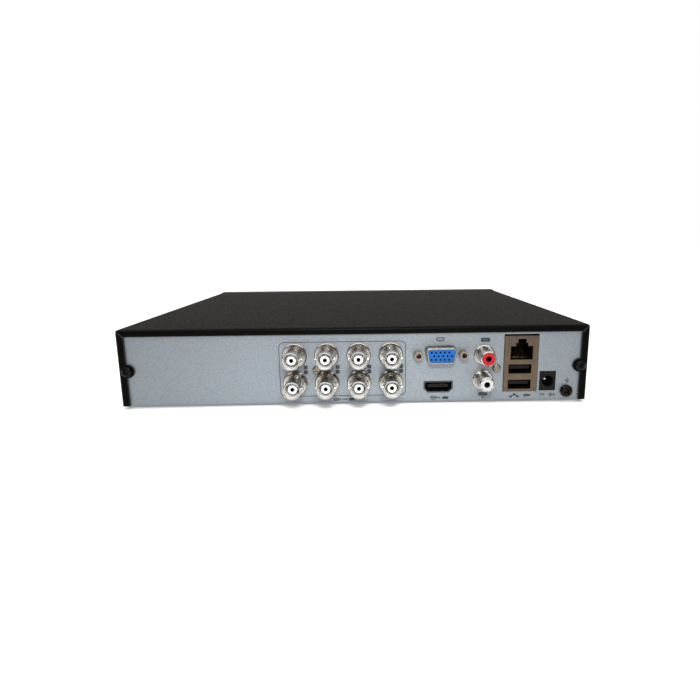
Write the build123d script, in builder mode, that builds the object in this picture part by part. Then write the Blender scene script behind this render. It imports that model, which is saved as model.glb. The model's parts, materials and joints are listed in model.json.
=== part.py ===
from build123d import *
from math import pi, radians, tan
import os

os.makedirs("parts", exist_ok=True)

# A compact eight-channel video recorder. +X is to the right when one faces the connector panel,
# which looks towards -Y. +Z is up, and the rubber feet stand on z = 0.

# ---- Driving dimensions, millimetres --------------------------------------------------------
WIDTH = 260.0
CASE_DEPTH = 222.0
CASE_HEIGHT = 43.0
FOOT_HEIGHT = 2.0
BEZEL_DEPTH = 14.0
BNC_REACH = 17.0
SHEET = 0.8
GAP = 0.3
FIT = 0.08

# ---- Levels worked out from them ------------------------------------------------------------
REAR = BNC_REACH - (CASE_DEPTH + BNC_REACH) / 2
FRONT = REAR + CASE_DEPTH
BEZEL_BACK = FRONT - BEZEL_DEPTH
BASE = FOOT_HEIGHT
TOP = BASE + CASE_HEIGHT
FLOOR_TOP = BASE + SHEET

# ---- Sheet metal ----------------------------------------------------------------------------
COVER_BEND = 1.6
COVER_BACK = REAR - GAP - SHEET
COVER_FRONT = BEZEL_BACK - GAP
RIM_SIDE = 4.5
RIM_TOP = 3.9
MITRE_SLIT = 0.25
EAR_X = 125.1
EAR_Z = BASE + 20.0
EAR_RADIUS = 3.8
CHASSIS_WIDTH = WIDTH - 2 * (SHEET + GAP)
CHASSIS_TOP = TOP - SHEET - GAP
CHASSIS_BEND = 1.0
LIP_TOP = BASE + 12.0
VENT_WIDTH = 2.0
VENT_LENGTH = 14.0
VENT_PITCH = 5.0

# ---- Circuit board --------------------------------------------------------------------------
BOARD_TOP = 7.0
BOARD_THICKNESS = 1.6
BOARD_BOTTOM = BOARD_TOP - BOARD_THICKNESS
BOARD_LEFT = -16.0
BOARD_RIGHT = 124.0
BOARD_FRONT = 60.0
STRIP_LEFT = -44.0
STRIP_FRONT = -72.0
STRIP_BACK = REAR + SHEET + 2.2
BOARD_HOLE = 1.6

# ---- Connectors on the panel: centre heights are above the feet -----------------------------
BNC_PITCH_X = 17.65
BNC_PITCH_Z = 15.75
BNC_CENTRE_X = -7.0
BNC_CENTRE_Z = BASE + 19.8
BNC_RING = 6.75
BNC_NOSE = 4.8
BNC_BORE = 4.05
BNC_STUB = 5.5

VGA_X = 47.1
VGA_Z = BASE + 27.1
VGA_SCREW_PITCH = 24.99
VGA_WIDTH = 17.4
VGA_HEIGHT = 9.0
VGA_REACH = 5.8
VGA_WALL = 0.9

VIDEO_X = 46.2
VIDEO_Z = BASE + 8.4
VIDEO_WIDTH = 15.9
VIDEO_HEIGHT = 6.2

RCA_X = 71.3
RCA_UPPER_Z = BASE + 26.4
RCA_LOWER_Z = BASE + 12.1
RCA_FLANGE = 5.75
RCA_BARREL = 4.2
RCA_CORE = 3.5
RCA_REACH = 11.0

CAGE_LEFT = 82.9
CAGE_RIGHT = 101.8
CAGE_TOP = BASE + 37.0
CAGE_DEPTH = 28.0
CAGE_WALL = 0.5
CAGE_PROUD = 0.2
LAN_X = 92.6
LAN_Z = BASE + 27.2
LAN_WIDTH = 12.5
LAN_HEIGHT = 7.7
USB_X = 91.9
USB_Z = (BASE + 9.1, BASE + 18.0)
USB_WIDTH = 12.9
USB_HEIGHT = 5.3

POWER_X = 107.9
POWER_Z = BASE + 10.9
POWER_WIDTH = 9.0
POWER_HEIGHT = 11.0
POWER_BORE = 3.2
POWER_PIN = 1.0

GROUND_X = 118.7
GROUND_Z = BASE + 5.05
SCREW_SHANK = 1.42
SCREW_HOLE = SCREW_SHANK + FIT

# ---- Hard disk ------------------------------------------------------------------------------
DISK_WIDTH = 101.6
DISK_LENGTH = 147.0
DISK_HEIGHT = 26.1
DISK_X = -73.2
DISK_Y = 7.5
DISK_BOTTOM = FLOOR_TOP + 1.2
DISK_TOP = DISK_BOTTOM + DISK_HEIGHT
LID_THICKNESS = 1.2
SPINDLE_Y = -14.0
PLATTER_RADIUS = 47.5
PLATTER_THICKNESS = 1.3
PLATTER_Z = (15.0, 20.0)
PIVOT_X = -47.0
PIVOT_Y = 41.0

# The panel's outer face, seen from behind the recorder: local x is X, local y is Z.
PANEL = Plane(origin=(0, REAR, 0), x_dir=(1, 0, 0), z_dir=(0, -1, 0))


def seat(x, z, outward=0.0):
    """A plane parallel to the panel's outer face, centred on (x, z), that far outside it."""
    return Plane(origin=(x, REAR - outward, z), x_dir=(1, 0, 0), z_dir=(0, -1, 0))


def section(x, z):
    """A plane through a connector's centre line: local x is the radius, local y points outward."""
    return Plane(origin=(x, REAR, z), x_dir=(1, 0, 0), z_dir=(0, 0, -1))


def outward_axis(x, z):
    """The centre line of a round connector, pointing out of the panel."""
    return Axis((x, REAR, z), (0, -1, 0))


def d_outline(width, height, corner):
    """The D shape of a video plug: wide at the top, with sides that lean ten degrees."""
    lean = height * tan(radians(10))
    with BuildSketch() as outline:
        with BuildLine():
            Polyline(
                (-width / 2, height / 2),
                (width / 2, height / 2),
                (width / 2 - lean, -height / 2),
                (lean - width / 2, -height / 2),
                close=True,
            )
        make_face()
        fillet(outline.vertices(), corner)
    return outline.sketch


def bevelled_outline(width, height, bevel):
    """A rectangle whose two lower corners are cut off, as on a digital video socket."""
    with BuildSketch() as outline:
        with BuildLine():
            Polyline(
                (-width / 2, height / 2),
                (width / 2, height / 2),
                (width / 2, bevel - height / 2),
                (width / 2 - bevel, -height / 2),
                (bevel - width / 2, -height / 2),
                (-width / 2, bevel - height / 2),
                close=True,
            )
        make_face()
    return outline.sketch


def stepped_outline(width, height):
    """A network socket's mouth: the plug's rectangle with two narrower steps for its latch."""
    with BuildSketch() as outline:
        Rectangle(width, height)
        with Locations((0, height / 2)):
            Rectangle(0.55 * width, 3.6)
            Rectangle(0.37 * width, 8.2)
    return outline.sketch


def save(part, name):
    """Label a finished piece and write it to its own file."""
    part.label = name
    export_step(part, f"parts/{name}.step")


BNC_CENTRES = [
    (BNC_CENTRE_X + (column - 1.5) * BNC_PITCH_X, BNC_CENTRE_Z + (0.5 - row) * BNC_PITCH_Z)
    for column in range(4)
    for row in range(2)
]
VGA_SCREWS = [(VGA_X - VGA_SCREW_PITCH / 2, VGA_Z), (VGA_X + VGA_SCREW_PITCH / 2, VGA_Z)]
RCA_CENTRES = {"upper": (RCA_X + 0.2, RCA_UPPER_Z), "lower": (RCA_X - 0.2, RCA_LOWER_Z)}
PANEL_SCREWS = [(78.8, BASE + 18.7), (-21.5, BASE + 19.1)]
FOOT_PLACES = [(108, -84), (-108, -84), (108, 88), (-108, 88)]
BOARD_HOLES = [(-8, 54), (118, 54), (118, -18), (-8, -18), (118, -88), (34, -88)]
DISK_HOLES = [(DISK_X + side * 47.6, DISK_Y + end * 38.1) for side in (-1, 1) for end in (-1, 1)]

# ---- Top cover: roof, two sides and a narrow rim folded in around the panel -------------------
with BuildPart() as top_cover:
    with BuildSketch(Plane.XY.offset(BASE)):
        with Locations((0, (COVER_BACK + COVER_FRONT) / 2)):
            Rectangle(WIDTH, COVER_FRONT - COVER_BACK)
    extrude(amount=CASE_HEIGHT)
    roof_sides = top_cover.edges().filter_by(Axis.Y).group_by(Axis.Z)[-1]
    roof_back = top_cover.edges().filter_by(Axis.X).group_by(Axis.Z)[-1].sort_by(Axis.Y)[0]
    back_uprights = top_cover.edges().filter_by(Axis.Z).group_by(Axis.Y)[0]
    fillet(roof_sides + [roof_back] + back_uprights, COVER_BEND)
    open_front = top_cover.faces().sort_by(Axis.Y)[-1]
    open_bottom = top_cover.faces().sort_by(Axis.Z)[0]
    offset(amount=-SHEET, openings=[open_front, open_bottom])
    # The window that leaves the panel bare.
    window_top = TOP - RIM_TOP
    with BuildSketch(PANEL.offset(5)):
        with Locations((0, (BASE + window_top) / 2)):
            Rectangle(WIDTH - 2 * RIM_SIDE, window_top - BASE)
    extrude(amount=-8, mode=Mode.SUBTRACT)
    # Round ears for the two cover screws.
    with BuildSketch(Plane(origin=(0, COVER_BACK, 0), x_dir=(1, 0, 0), z_dir=(0, -1, 0))):
        with Locations((-EAR_X, EAR_Z), (EAR_X, EAR_Z)):
            Circle(EAR_RADIUS)
    extrude(amount=-SHEET)
    with BuildSketch(PANEL.offset(5)):
        with Locations((-EAR_X, EAR_Z), (EAR_X, EAR_Z)):
            Circle(SCREW_HOLE)
        for side in (-1, 1):
            with Locations(Location((side * (WIDTH / 2 - 2.6), TOP - 2.6), 45 * side)):
                Rectangle(5.6, MITRE_SLIT)
    extrude(amount=-8, mode=Mode.SUBTRACT)
    # Cooling slots through both sides.
    with BuildSketch(Plane.YZ):
        for group_y in (-45, 45):
            with Locations((group_y, BASE + 24)):
                with GridLocations(VENT_PITCH, 0, 9, 1):
                    SlotOverall(VENT_LENGTH, VENT_WIDTH, rotation=90)
    extrude(amount=WIDTH, both=True, mode=Mode.SUBTRACT)
save(top_cover.part, "top_cover")

# ---- Base chassis: floor, connector panel, front wall and two low side lips -------------------
with BuildPart() as base_chassis:
    with BuildSketch(Plane.XY.offset(BASE)):
        with Locations((0, (REAR + BEZEL_BACK) / 2)):
            Rectangle(CHASSIS_WIDTH, BEZEL_BACK - REAR)
    extrude(amount=CHASSIS_TOP - BASE)
    fillet(base_chassis.faces().sort_by(Axis.Z)[0].edges(), CHASSIS_BEND)
    offset(amount=-SHEET, openings=base_chassis.faces().sort_by(Axis.Z)[-1])
    # The sides are cut down to lips between the two end walls.
    with BuildSketch(Plane.YZ):
        with Locations(((REAR + BEZEL_BACK) / 2, (LIP_TOP + TOP) / 2)):
            Rectangle(BEZEL_BACK - REAR - 2 * SHEET, TOP - LIP_TOP)
    extrude(amount=WIDTH, both=True, mode=Mode.SUBTRACT)
    # Openings in the connector panel.
    with BuildSketch(PANEL.offset(1)):
        with Locations(*BNC_CENTRES):
            Circle(BNC_STUB + 0.4)
        with Locations((VGA_X, VGA_Z)):
            add(d_outline(VGA_WIDTH + 1.0, VGA_HEIGHT + 1.0, 2.2))
        with Locations(*VGA_SCREWS):
            Circle(1.6)
        with Locations((VIDEO_X, VIDEO_Z)):
            add(bevelled_outline(VIDEO_WIDTH + 0.6, VIDEO_HEIGHT + 0.6, 2.2))
        with Locations(*RCA_CENTRES.values()):
            Circle(RCA_BARREL + 0.4)
        with Locations(((CAGE_LEFT + CAGE_RIGHT) / 2, (BOARD_TOP + CAGE_TOP + 0.8) / 2)):
            Rectangle(CAGE_RIGHT - CAGE_LEFT + 0.6, CAGE_TOP + 1.0 - BOARD_TOP)
        with Locations((POWER_X, POWER_Z)):
            Rectangle(POWER_WIDTH + 0.3, POWER_HEIGHT + 0.3)
        with Locations(*PANEL_SCREWS, (GROUND_X, GROUND_Z), (EAR_X, EAR_Z), (-EAR_X, EAR_Z)):
            Circle(SCREW_HOLE)
    extrude(amount=-3, mode=Mode.SUBTRACT)
    # Floor: cooling slots under the board, and holes for the disk's screws.
    with BuildSketch(Plane.XY):
        with Locations((56, 20)):
            with GridLocations(VENT_PITCH, 24, 17, 2):
                SlotOverall(18, VENT_WIDTH, rotation=90)
        with Locations(*DISK_HOLES):
            Circle(SCREW_HOLE)
    extrude(amount=BASE + 2, mode=Mode.SUBTRACT)
    # Raised pads that carry the disk.
    with BuildSketch(Plane.XY.offset(FLOOR_TOP)):
        with Locations(*DISK_HOLES):
            Circle(4.0)
            Circle(SCREW_HOLE, mode=Mode.SUBTRACT)
    extrude(amount=DISK_BOTTOM - FLOOR_TOP)
    # Front wall: slots for the bezel's hooks and a window for the lamps.
    with BuildSketch(Plane.XZ.offset(-BEZEL_BACK - 1)):
        with Locations((-100, BASE + 22), (0, BASE + 22), (100, BASE + 22)):
            Rectangle(10.6, 3.4)
        with Locations((60, BASE + 24)):
            Rectangle(44, 8)
    extrude(amount=4, mode=Mode.SUBTRACT)
save(base_chassis.part, "base_chassis")

# ---- Rubber feet ----------------------------------------------------------------------------
for number, (foot_x, foot_y) in enumerate(FOOT_PLACES, start=1):
    with BuildPart() as foot:
        with BuildSketch():
            with Locations((foot_x, foot_y)):
                Circle(6.5)
        extrude(amount=FOOT_HEIGHT)
        chamfer(foot.faces().sort_by(Axis.Z)[0].edges(), 0.4)
    save(foot.part, f"foot_{number}")

# ---- Front bezel: a hollow plastic moulding with three hooks -----------------------------------
WINDOW_X = 60.0
WINDOW_Z = BASE + 24.0
WINDOW_WIDTH = 54.0
WINDOW_HEIGHT = 14.0
LAMP_PITCH = 12.0
LAMP_RADIUS = 1.5
BEZEL_WALL = 2.0
with BuildPart() as front_bezel:
    with BuildSketch(Plane.XZ.offset(-BEZEL_BACK)):
        with Locations((0, (BASE + TOP) / 2)):
            Rectangle(WIDTH, CASE_HEIGHT)
    extrude(amount=-BEZEL_DEPTH)
    fillet(front_bezel.faces().sort_by(Axis.Y)[-1].edges(), 3.0)
    offset(amount=-BEZEL_WALL, openings=front_bezel.faces().sort_by(Axis.Y)[0])
    # A recess for the dark window, with a smaller hole through it.
    with BuildSketch(Plane.XZ.offset(-FRONT)):
        with Locations((WINDOW_X, WINDOW_Z)):
            RectangleRounded(WINDOW_WIDTH, WINDOW_HEIGHT, 2.0)
    extrude(amount=1.0, mode=Mode.SUBTRACT)
    with BuildSketch(Plane.XZ.offset(-FRONT)):
        with Locations((WINDOW_X, WINDOW_Z)):
            RectangleRounded(WINDOW_WIDTH - 4, WINDOW_HEIGHT - 4, 1.5)
    extrude(amount=BEZEL_WALL + 1, mode=Mode.SUBTRACT)
    # Hooks that snap through the chassis's front wall.
    with BuildSketch(Plane.XZ.offset(-FRONT + BEZEL_WALL)):
        with Locations((-100, BASE + 22), (0, BASE + 22), (100, BASE + 22)):
            Rectangle(10, 2)
    extrude(amount=BEZEL_DEPTH - BEZEL_WALL + SHEET + 2.0)
save(front_bezel.part, "front_bezel")

with BuildPart() as infrared_window:
    with BuildSketch(Plane.XZ.offset(-FRONT + 1.0)):
        with Locations((WINDOW_X, WINDOW_Z)):
            RectangleRounded(WINDOW_WIDTH - 0.2, WINDOW_HEIGHT - 0.2, 1.9)
    extrude(amount=-1.0)
save(infrared_window.part, "infrared_window")

# ---- Lamp board behind the window, with its three light guides ---------------------------------
LAMP_BOARD_BACK = BEZEL_BACK - SHEET - 3.0
LAMP_BOARD_THICKNESS = 1.2
with BuildPart() as lamp_board:
    with BuildSketch(Plane.XZ.offset(-LAMP_BOARD_BACK)):
        with Locations((WINDOW_X, BASE + 20)):
            Rectangle(56, 20)
        with Locations((WINDOW_X - 24, BASE + 28), (WINDOW_X + 24, BASE + 28)):
            Circle(1.5, mode=Mode.SUBTRACT)
    extrude(amount=-LAMP_BOARD_THICKNESS)
    # The infrared receiver and the lamps themselves, soldered on.
    with BuildSketch(Plane.XZ.offset(-LAMP_BOARD_BACK - LAMP_BOARD_THICKNESS)):
        with Locations((WINDOW_X + 18, WINDOW_Z)):
            Rectangle(5, 6)
        with Locations((WINDOW_X - 6, WINDOW_Z)):
            with GridLocations(LAMP_PITCH, 0, 3, 1):
                Rectangle(2.6, 2.0)
    extrude(amount=-1.2)
save(lamp_board.part, "lamp_board")

LAMP_FACE = LAMP_BOARD_BACK + LAMP_BOARD_THICKNESS + 1.4
with BuildPart() as light_guides:
    with BuildSketch(Plane.XZ.offset(-LAMP_FACE)):
        with Locations((WINDOW_X - 6, WINDOW_Z)):
            with GridLocations(LAMP_PITCH, 0, 3, 1):
                Circle(LAMP_RADIUS)
    extrude(amount=-(FRONT - 1.0 - LAMP_FACE))
save(light_guides.part, "light_guides")

# ---- Screws ---------------------------------------------------------------------------------


def pan_screw(x, z, outward, head_radius, head_height, shank_length):
    """A cross-recessed pan-head screw that points into the panel, its head resting at outward."""
    with BuildPart() as screw:
        with BuildSketch(seat(x, z, outward)):
            Circle(head_radius)
        extrude(amount=head_height)
        fillet(screw.faces().sort_by(Axis.Y)[0].edges(), 0.55 * head_height)
        with BuildSketch(seat(x, z, outward)):
            Circle(SCREW_SHANK)
        extrude(amount=-shank_length)
        with BuildSketch(seat(x, z, outward + head_height)):
            Rectangle(1.15 * head_radius, 0.26 * head_radius, rotation=30)
            Rectangle(1.15 * head_radius, 0.26 * head_radius, rotation=120)
        extrude(amount=-0.6 * head_height, mode=Mode.SUBTRACT)
    return screw.part


def upright_screw(x, y, z, head_radius, head_height, shank_length, shank_radius):
    """A pan-head screw that points down, its head resting on z; a negative height points it up."""
    with BuildPart() as screw:
        with BuildSketch(Plane.XY.offset(z)):
            with Locations((x, y)):
                Circle(head_radius)
        extrude(amount=head_height)
        with BuildSketch(Plane.XY.offset(z)):
            with Locations((x, y)):
                Circle(shank_radius)
        extrude(amount=-shank_length)
        with BuildSketch(Plane.XY.offset(z + head_height)):
            with Locations((x, y)):
                Rectangle(1.15 * head_radius, 0.26 * head_radius, rotation=45)
                Rectangle(1.15 * head_radius, 0.26 * head_radius, rotation=135)
        extrude(amount=-0.6 * head_height, mode=Mode.SUBTRACT)
    return screw.part


EAR_SEAT = REAR - COVER_BACK + 0.05
save(pan_screw(-EAR_X, EAR_Z, EAR_SEAT, 2.9, 2.0, 6.0), "cover_screw_left")
save(pan_screw(EAR_X, EAR_Z, EAR_SEAT, 2.9, 2.0, 6.0), "cover_screw_right")
save(pan_screw(GROUND_X, GROUND_Z, 0.05, 3.45, 2.3, 5.0), "ground_screw")

panel_screws = [pan_screw(x, z, 0.0, 2.3, 1.6, 6.0) for x, z in PANEL_SCREWS]
save(Compound(children=panel_screws), "connector_screws")

board_screws = [upright_screw(x, y, BOARD_TOP, 2.8, 1.6, 4.0, 1.4) for x, y in BOARD_HOLES]
save(Compound(children=board_screws), "board_screws")

disk_screws = [upright_screw(x, y, BASE, 2.8, -1.2, -5.5, 1.35) for x, y in DISK_HOLES]
save(Compound(children=disk_screws), "disk_screws")

with BuildPart() as board_standoffs:
    with BuildSketch(Plane.XY.offset(FLOOR_TOP)):
        with Locations(*BOARD_HOLES):
            RegularPolygon(2.6, 6)
            Circle(1.45, mode=Mode.SUBTRACT)
    extrude(amount=BOARD_BOTTOM - FLOOR_TOP)
save(board_standoffs.part, "board_standoffs")

# ---- Main circuit board: a strip behind the connectors and a wide area beside the disk ----------
with BuildPart() as main_board:
    with BuildSketch(Plane.XY.offset(BOARD_BOTTOM)):
        with BuildLine():
            Polyline(
                (STRIP_LEFT, STRIP_BACK),
                (BOARD_RIGHT, STRIP_BACK),
                (BOARD_RIGHT, BOARD_FRONT),
                (BOARD_LEFT, BOARD_FRONT),
                (BOARD_LEFT, STRIP_FRONT),
                (STRIP_LEFT, STRIP_FRONT),
                close=True,
            )
        make_face()
        with Locations(*BOARD_HOLES):
            Circle(BOARD_HOLE, mode=Mode.SUBTRACT)
        # A notched corner leaves room for the ground screw.
        with Locations((BOARD_RIGHT - 5, STRIP_BACK + 2)):
            Rectangle(14, 8, mode=Mode.SUBTRACT)
    extrude(amount=BOARD_THICKNESS)
save(main_board.part, "main_board")

# ---- Chips: the processor, four memory chips, two video decoders and a flash chip ---------------
PROCESSOR_X = 56.0
PROCESSOR_Y = 0.0
PROCESSOR_TOP = BOARD_TOP + 2.0
with BuildPart() as board_chips:
    with BuildSketch(Plane.XY.offset(BOARD_TOP)):
        with Locations((PROCESSOR_X, PROCESSOR_Y)):
            Rectangle(23, 23)
    extrude(amount=2.0)
    with BuildSketch(Plane.XY.offset(BOARD_TOP)):
        with Locations((PROCESSOR_X, PROCESSOR_Y + 38)):
            with GridLocations(18, 0, 4, 1):
                Rectangle(9, 13)
        with Locations((4, -50), (28, -50)):
            Rectangle(14, 14)
        with Locations((92, -50)):
            Rectangle(10, 10)
    extrude(amount=1.2)
save(board_chips.part, "board_chips")

with BuildPart() as heat_sink:
    with BuildSketch(Plane.XY.offset(PROCESSOR_TOP)):
        with Locations((PROCESSOR_X, PROCESSOR_Y)):
            Rectangle(40, 40)
    extrude(amount=2.5)
    with BuildSketch(Plane.XY.offset(PROCESSOR_TOP + 2.5)):
        with Locations((PROCESSOR_X, PROCESSOR_Y)):
            with GridLocations(4.2, 0, 10, 1):
                Rectangle(1.2, 40)
    extrude(amount=8.0)
save(heat_sink.part, "heat_sink")

# ---- Tall parts on the board --------------------------------------------------------------------
with BuildPart() as capacitors:
    with BuildSketch(Plane.XY.offset(BOARD_TOP)):
        with Locations((108, -62), (108, -50), (108, -38), (96, -34), (20, 52), (20, 40)):
            Circle(4.0)
    extrude(amount=11.5)
    fillet(capacitors.faces().group_by(Axis.Z)[-1].edges(), 0.6)
save(capacitors.part, "capacitors")

CELL_X = 96.0
CELL_Y = 20.0
with BuildPart() as cell_holder:
    with BuildSketch(Plane.XY.offset(BOARD_TOP)):
        with Locations((CELL_X, CELL_Y)):
            Circle(12.0)
    extrude(amount=5.0)
    with BuildSketch(Plane.XY.offset(BOARD_TOP + 1.2)):
        with Locations((CELL_X, CELL_Y)):
            Circle(10.15)
    extrude(amount=5.0, mode=Mode.SUBTRACT)
    with BuildSketch(Plane.XY.offset(BOARD_TOP + 2.5)):
        with Locations((CELL_X + 11, CELL_Y)):
            Rectangle(8, 9)
    extrude(amount=5.0, mode=Mode.SUBTRACT)
save(cell_holder.part, "cell_holder")

with BuildPart() as coin_cell:
    with BuildSketch(Plane.XY.offset(BOARD_TOP + 1.2)):
        with Locations((CELL_X, CELL_Y)):
            Circle(10.0)
    extrude(amount=3.2)
    fillet(coin_cell.edges().group_by(Axis.Z)[-1], 0.5)
save(coin_cell.part, "coin_cell")

with BuildPart() as buzzer:
    with BuildSketch(Plane.XY.offset(BOARD_TOP)):
        with Locations((108, 44)):
            Circle(6.0)
    extrude(amount=7.5)
    with BuildSketch(Plane.XY.offset(BOARD_TOP + 7.5)):
        with Locations((108, 44)):
            Circle(1.2)
    extrude(amount=-3.0, mode=Mode.SUBTRACT)
save(buzzer.part, "buzzer")

# ---- Eight bayonet video sockets in one stacked moulding ----------------------------------------
HOUSING_FRONT = REAR + SHEET
HOUSING_BACK = HOUSING_FRONT + 21.0
with BuildPart() as bnc_housing:
    with BuildSketch(Plane.XY.offset(BOARD_TOP)):
        with Locations((BNC_CENTRE_X, (HOUSING_FRONT + HOUSING_BACK) / 2)):
            Rectangle(4 * BNC_PITCH_X - 0.6, HOUSING_BACK - HOUSING_FRONT)
    extrude(amount=2 * BNC_PITCH_Z - 0.6)
    # Sawn gaps between the four columns of the moulding.
    with BuildSketch(Plane.XY.offset(BOARD_TOP + 3)):
        with Locations((BNC_CENTRE_X, HOUSING_BACK - 4)):
            with GridLocations(BNC_PITCH_X, 0, 3, 1):
                Rectangle(1.6, 12)
    extrude(amount=2 * BNC_PITCH_Z, mode=Mode.SUBTRACT)
    with BuildSketch(PANEL.offset(-SHEET)):
        with Locations(*BNC_CENTRES):
            Circle(BNC_STUB + FIT)
    extrude(amount=-10, mode=Mode.SUBTRACT)
    with BuildSketch(PANEL.offset(-SHEET)):
        with Locations(PANEL_SCREWS[1]):
            Circle(SCREW_HOLE)
    extrude(amount=-6, mode=Mode.SUBTRACT)
save(bnc_housing.part, "bnc_housing")

# Each socket's shell: a round collar, three turns of thread, a plain neck and the bayonet nose.
NOSE_LAND = 3.8
LUG_BACK = BNC_REACH - 5.2
THREAD_START = 2.2
THREAD_PITCH = 0.9
for number, (x, z) in enumerate(BNC_CENTRES, start=1):
    with BuildPart() as bnc_shell:
        with BuildSketch(section(x, z)) as profile:
            with BuildLine():
                Polyline(
                    (0, -9.5),
                    (BNC_STUB, -9.5),
                    (BNC_STUB, 0),
                    (BNC_RING, 0),
                    (BNC_RING, THREAD_START - 0.4),
                    (BNC_RING - 0.4, THREAD_START),
                    (BNC_RING - 0.7, THREAD_START),
                    (BNC_RING - 0.7, THREAD_START + 3 * THREAD_PITCH),
                    (BNC_NOSE + 0.55, THREAD_START + 3 * THREAD_PITCH),
                    (BNC_NOSE + 0.55, THREAD_START + 3 * THREAD_PITCH + 0.8),
                    (BNC_NOSE - 0.2, THREAD_START + 3 * THREAD_PITCH + 0.8),
                    (BNC_NOSE - 0.2, BNC_REACH - NOSE_LAND),
                    (BNC_NOSE, BNC_REACH - NOSE_LAND),
                    (BNC_NOSE, BNC_REACH - 0.3),
                    (BNC_NOSE - 0.3, BNC_REACH),
                    (BNC_BORE + 0.15, BNC_REACH),
                    (BNC_BORE, BNC_REACH - 0.15),
                    (BNC_BORE, 5.0),
                    (0, 5.0),
                    close=True,
                )
            make_face()
            for turn in range(3):
                with Locations((BNC_RING - 0.7, THREAD_START + (turn + 0.5) * THREAD_PITCH)):
                    Rectangle(0.6, 0.4, rotation=45, mode=Mode.SUBTRACT)
        revolve(axis=outward_axis(x, z))
        # Two bayonet lugs behind the nose's front land.
        with BuildSketch(Plane(origin=(x, REAR - LUG_BACK, z), x_dir=(0, 1, 0), z_dir=(1, 0, 0))):
            Circle(1.0)
        extrude(amount=BNC_NOSE + 0.75, both=True)
        # The socket's clear bore, and the seat of its insulator.
        with BuildSketch(seat(x, z, BNC_REACH)):
            Circle(BNC_BORE)
        extrude(amount=-(BNC_REACH - 5.0), mode=Mode.SUBTRACT)
        with BuildSketch(seat(x, z, BNC_REACH)):
            Circle(2.4)
        extrude(amount=-(BNC_REACH + 9.5), mode=Mode.SUBTRACT)
    save(bnc_shell.part, f"bnc_shell_{number}")

INSULATOR_REACH = BNC_REACH - 3.3
with BuildPart() as bnc_insulators:
    with BuildSketch(PANEL.offset(INSULATOR_REACH)):
        with Locations(*BNC_CENTRES):
            Circle(2.38)
            Circle(0.98, mode=Mode.SUBTRACT)
    extrude(amount=-(INSULATOR_REACH + 9.5))
save(bnc_insulators.part, "bnc_insulators")

CONTACT_REACH = INSULATOR_REACH - 5.0
with BuildPart() as bnc_contacts:
    with BuildSketch(PANEL.offset(CONTACT_REACH)):
        with Locations(*BNC_CENTRES):
            Circle(0.95)
    extrude(amount=-(CONTACT_REACH + 9.5))
    with BuildSketch(PANEL.offset(CONTACT_REACH)):
        with Locations(*BNC_CENTRES):
            Circle(0.65)
    extrude(amount=-5.0, mode=Mode.SUBTRACT)
save(bnc_contacts.part, "bnc_contacts")

# ---- Analogue video socket ------------------------------------------------------------------
with BuildPart() as vga_shell:
    with BuildSketch(PANEL.offset(-SHEET)):
        with Locations((VGA_X, VGA_Z)):
            RectangleRounded(30.8, 12.6, 1.5)
    extrude(amount=-0.8)
    with BuildSketch(PANEL.offset(-SHEET)):
        with Locations((VGA_X, VGA_Z)):
            add(d_outline(VGA_WIDTH, VGA_HEIGHT, 1.9))
    extrude(amount=SHEET + VGA_REACH)
    fillet(vga_shell.faces().sort_by(Axis.Y)[0].edges(), 0.45)
    with BuildSketch(PANEL.offset(VGA_REACH)):
        with Locations((VGA_X, VGA_Z)):
            add(d_outline(VGA_WIDTH - 2 * VGA_WALL, VGA_HEIGHT - 2 * VGA_WALL, 1.3))
    extrude(amount=-(VGA_REACH + 2), mode=Mode.SUBTRACT)
    with BuildSketch(PANEL.offset(-SHEET)):
        with Locations(*VGA_SCREWS):
            Circle(1.55)
    extrude(amount=-2, mode=Mode.SUBTRACT)
save(vga_shell.part, "vga_shell")

PIN_PITCH = 2.4
with BuildPart() as vga_insert:
    with BuildSketch(PANEL.offset(VGA_REACH - 0.5)):
        with Locations((VGA_X, VGA_Z)):
            add(d_outline(VGA_WIDTH - 2 * VGA_WALL - 0.2, VGA_HEIGHT - 2 * VGA_WALL - 0.2, 1.2))
    extrude(amount=-(VGA_REACH - 0.5 + SHEET + 0.8))
    # The moulding bends down behind the digital socket to reach the board.
    block_bottom = VIDEO_Z + VIDEO_HEIGHT / 2 + 0.5
    block_top = VGA_Z + 4.5
    with BuildSketch(PANEL.offset(-SHEET - 0.8)):
        with Locations((VGA_X, (block_top + block_bottom) / 2)):
            Rectangle(19, block_top - block_bottom)
    extrude(amount=-17)
    with BuildSketch(PANEL.offset(-13)):
        with Locations((VGA_X, (block_bottom + BOARD_TOP) / 2)):
            Rectangle(19, block_bottom - BOARD_TOP)
    extrude(amount=SHEET + 0.8 - 17 + 13)
    with BuildSketch(PANEL.offset(VGA_REACH - 0.5)):
        for row in (-1, 0, 1):
            shift = 0.6 * PIN_PITCH / 2 * (1 if row == 0 else -1)
            with Locations((VGA_X + shift, VGA_Z + row * 1.98)):
                with GridLocations(PIN_PITCH, 0, 5, 1):
                    Circle(0.55)
    extrude(amount=-4, mode=Mode.SUBTRACT)
save(vga_insert.part, "vga_insert")

with BuildPart() as vga_jackscrews:
    with BuildSketch(PANEL):
        with Locations(*VGA_SCREWS):
            RegularPolygon(2.75, 6)
    extrude(amount=5.0)
    with BuildSketch(PANEL):
        with Locations(*VGA_SCREWS):
            Circle(1.5)
    extrude(amount=-4.0)
    with BuildSketch(PANEL.offset(5.0)):
        with Locations(*VGA_SCREWS):
            Circle(1.4)
    extrude(amount=-6.0, mode=Mode.SUBTRACT)
save(vga_jackscrews.part, "vga_jackscrews")

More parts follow.
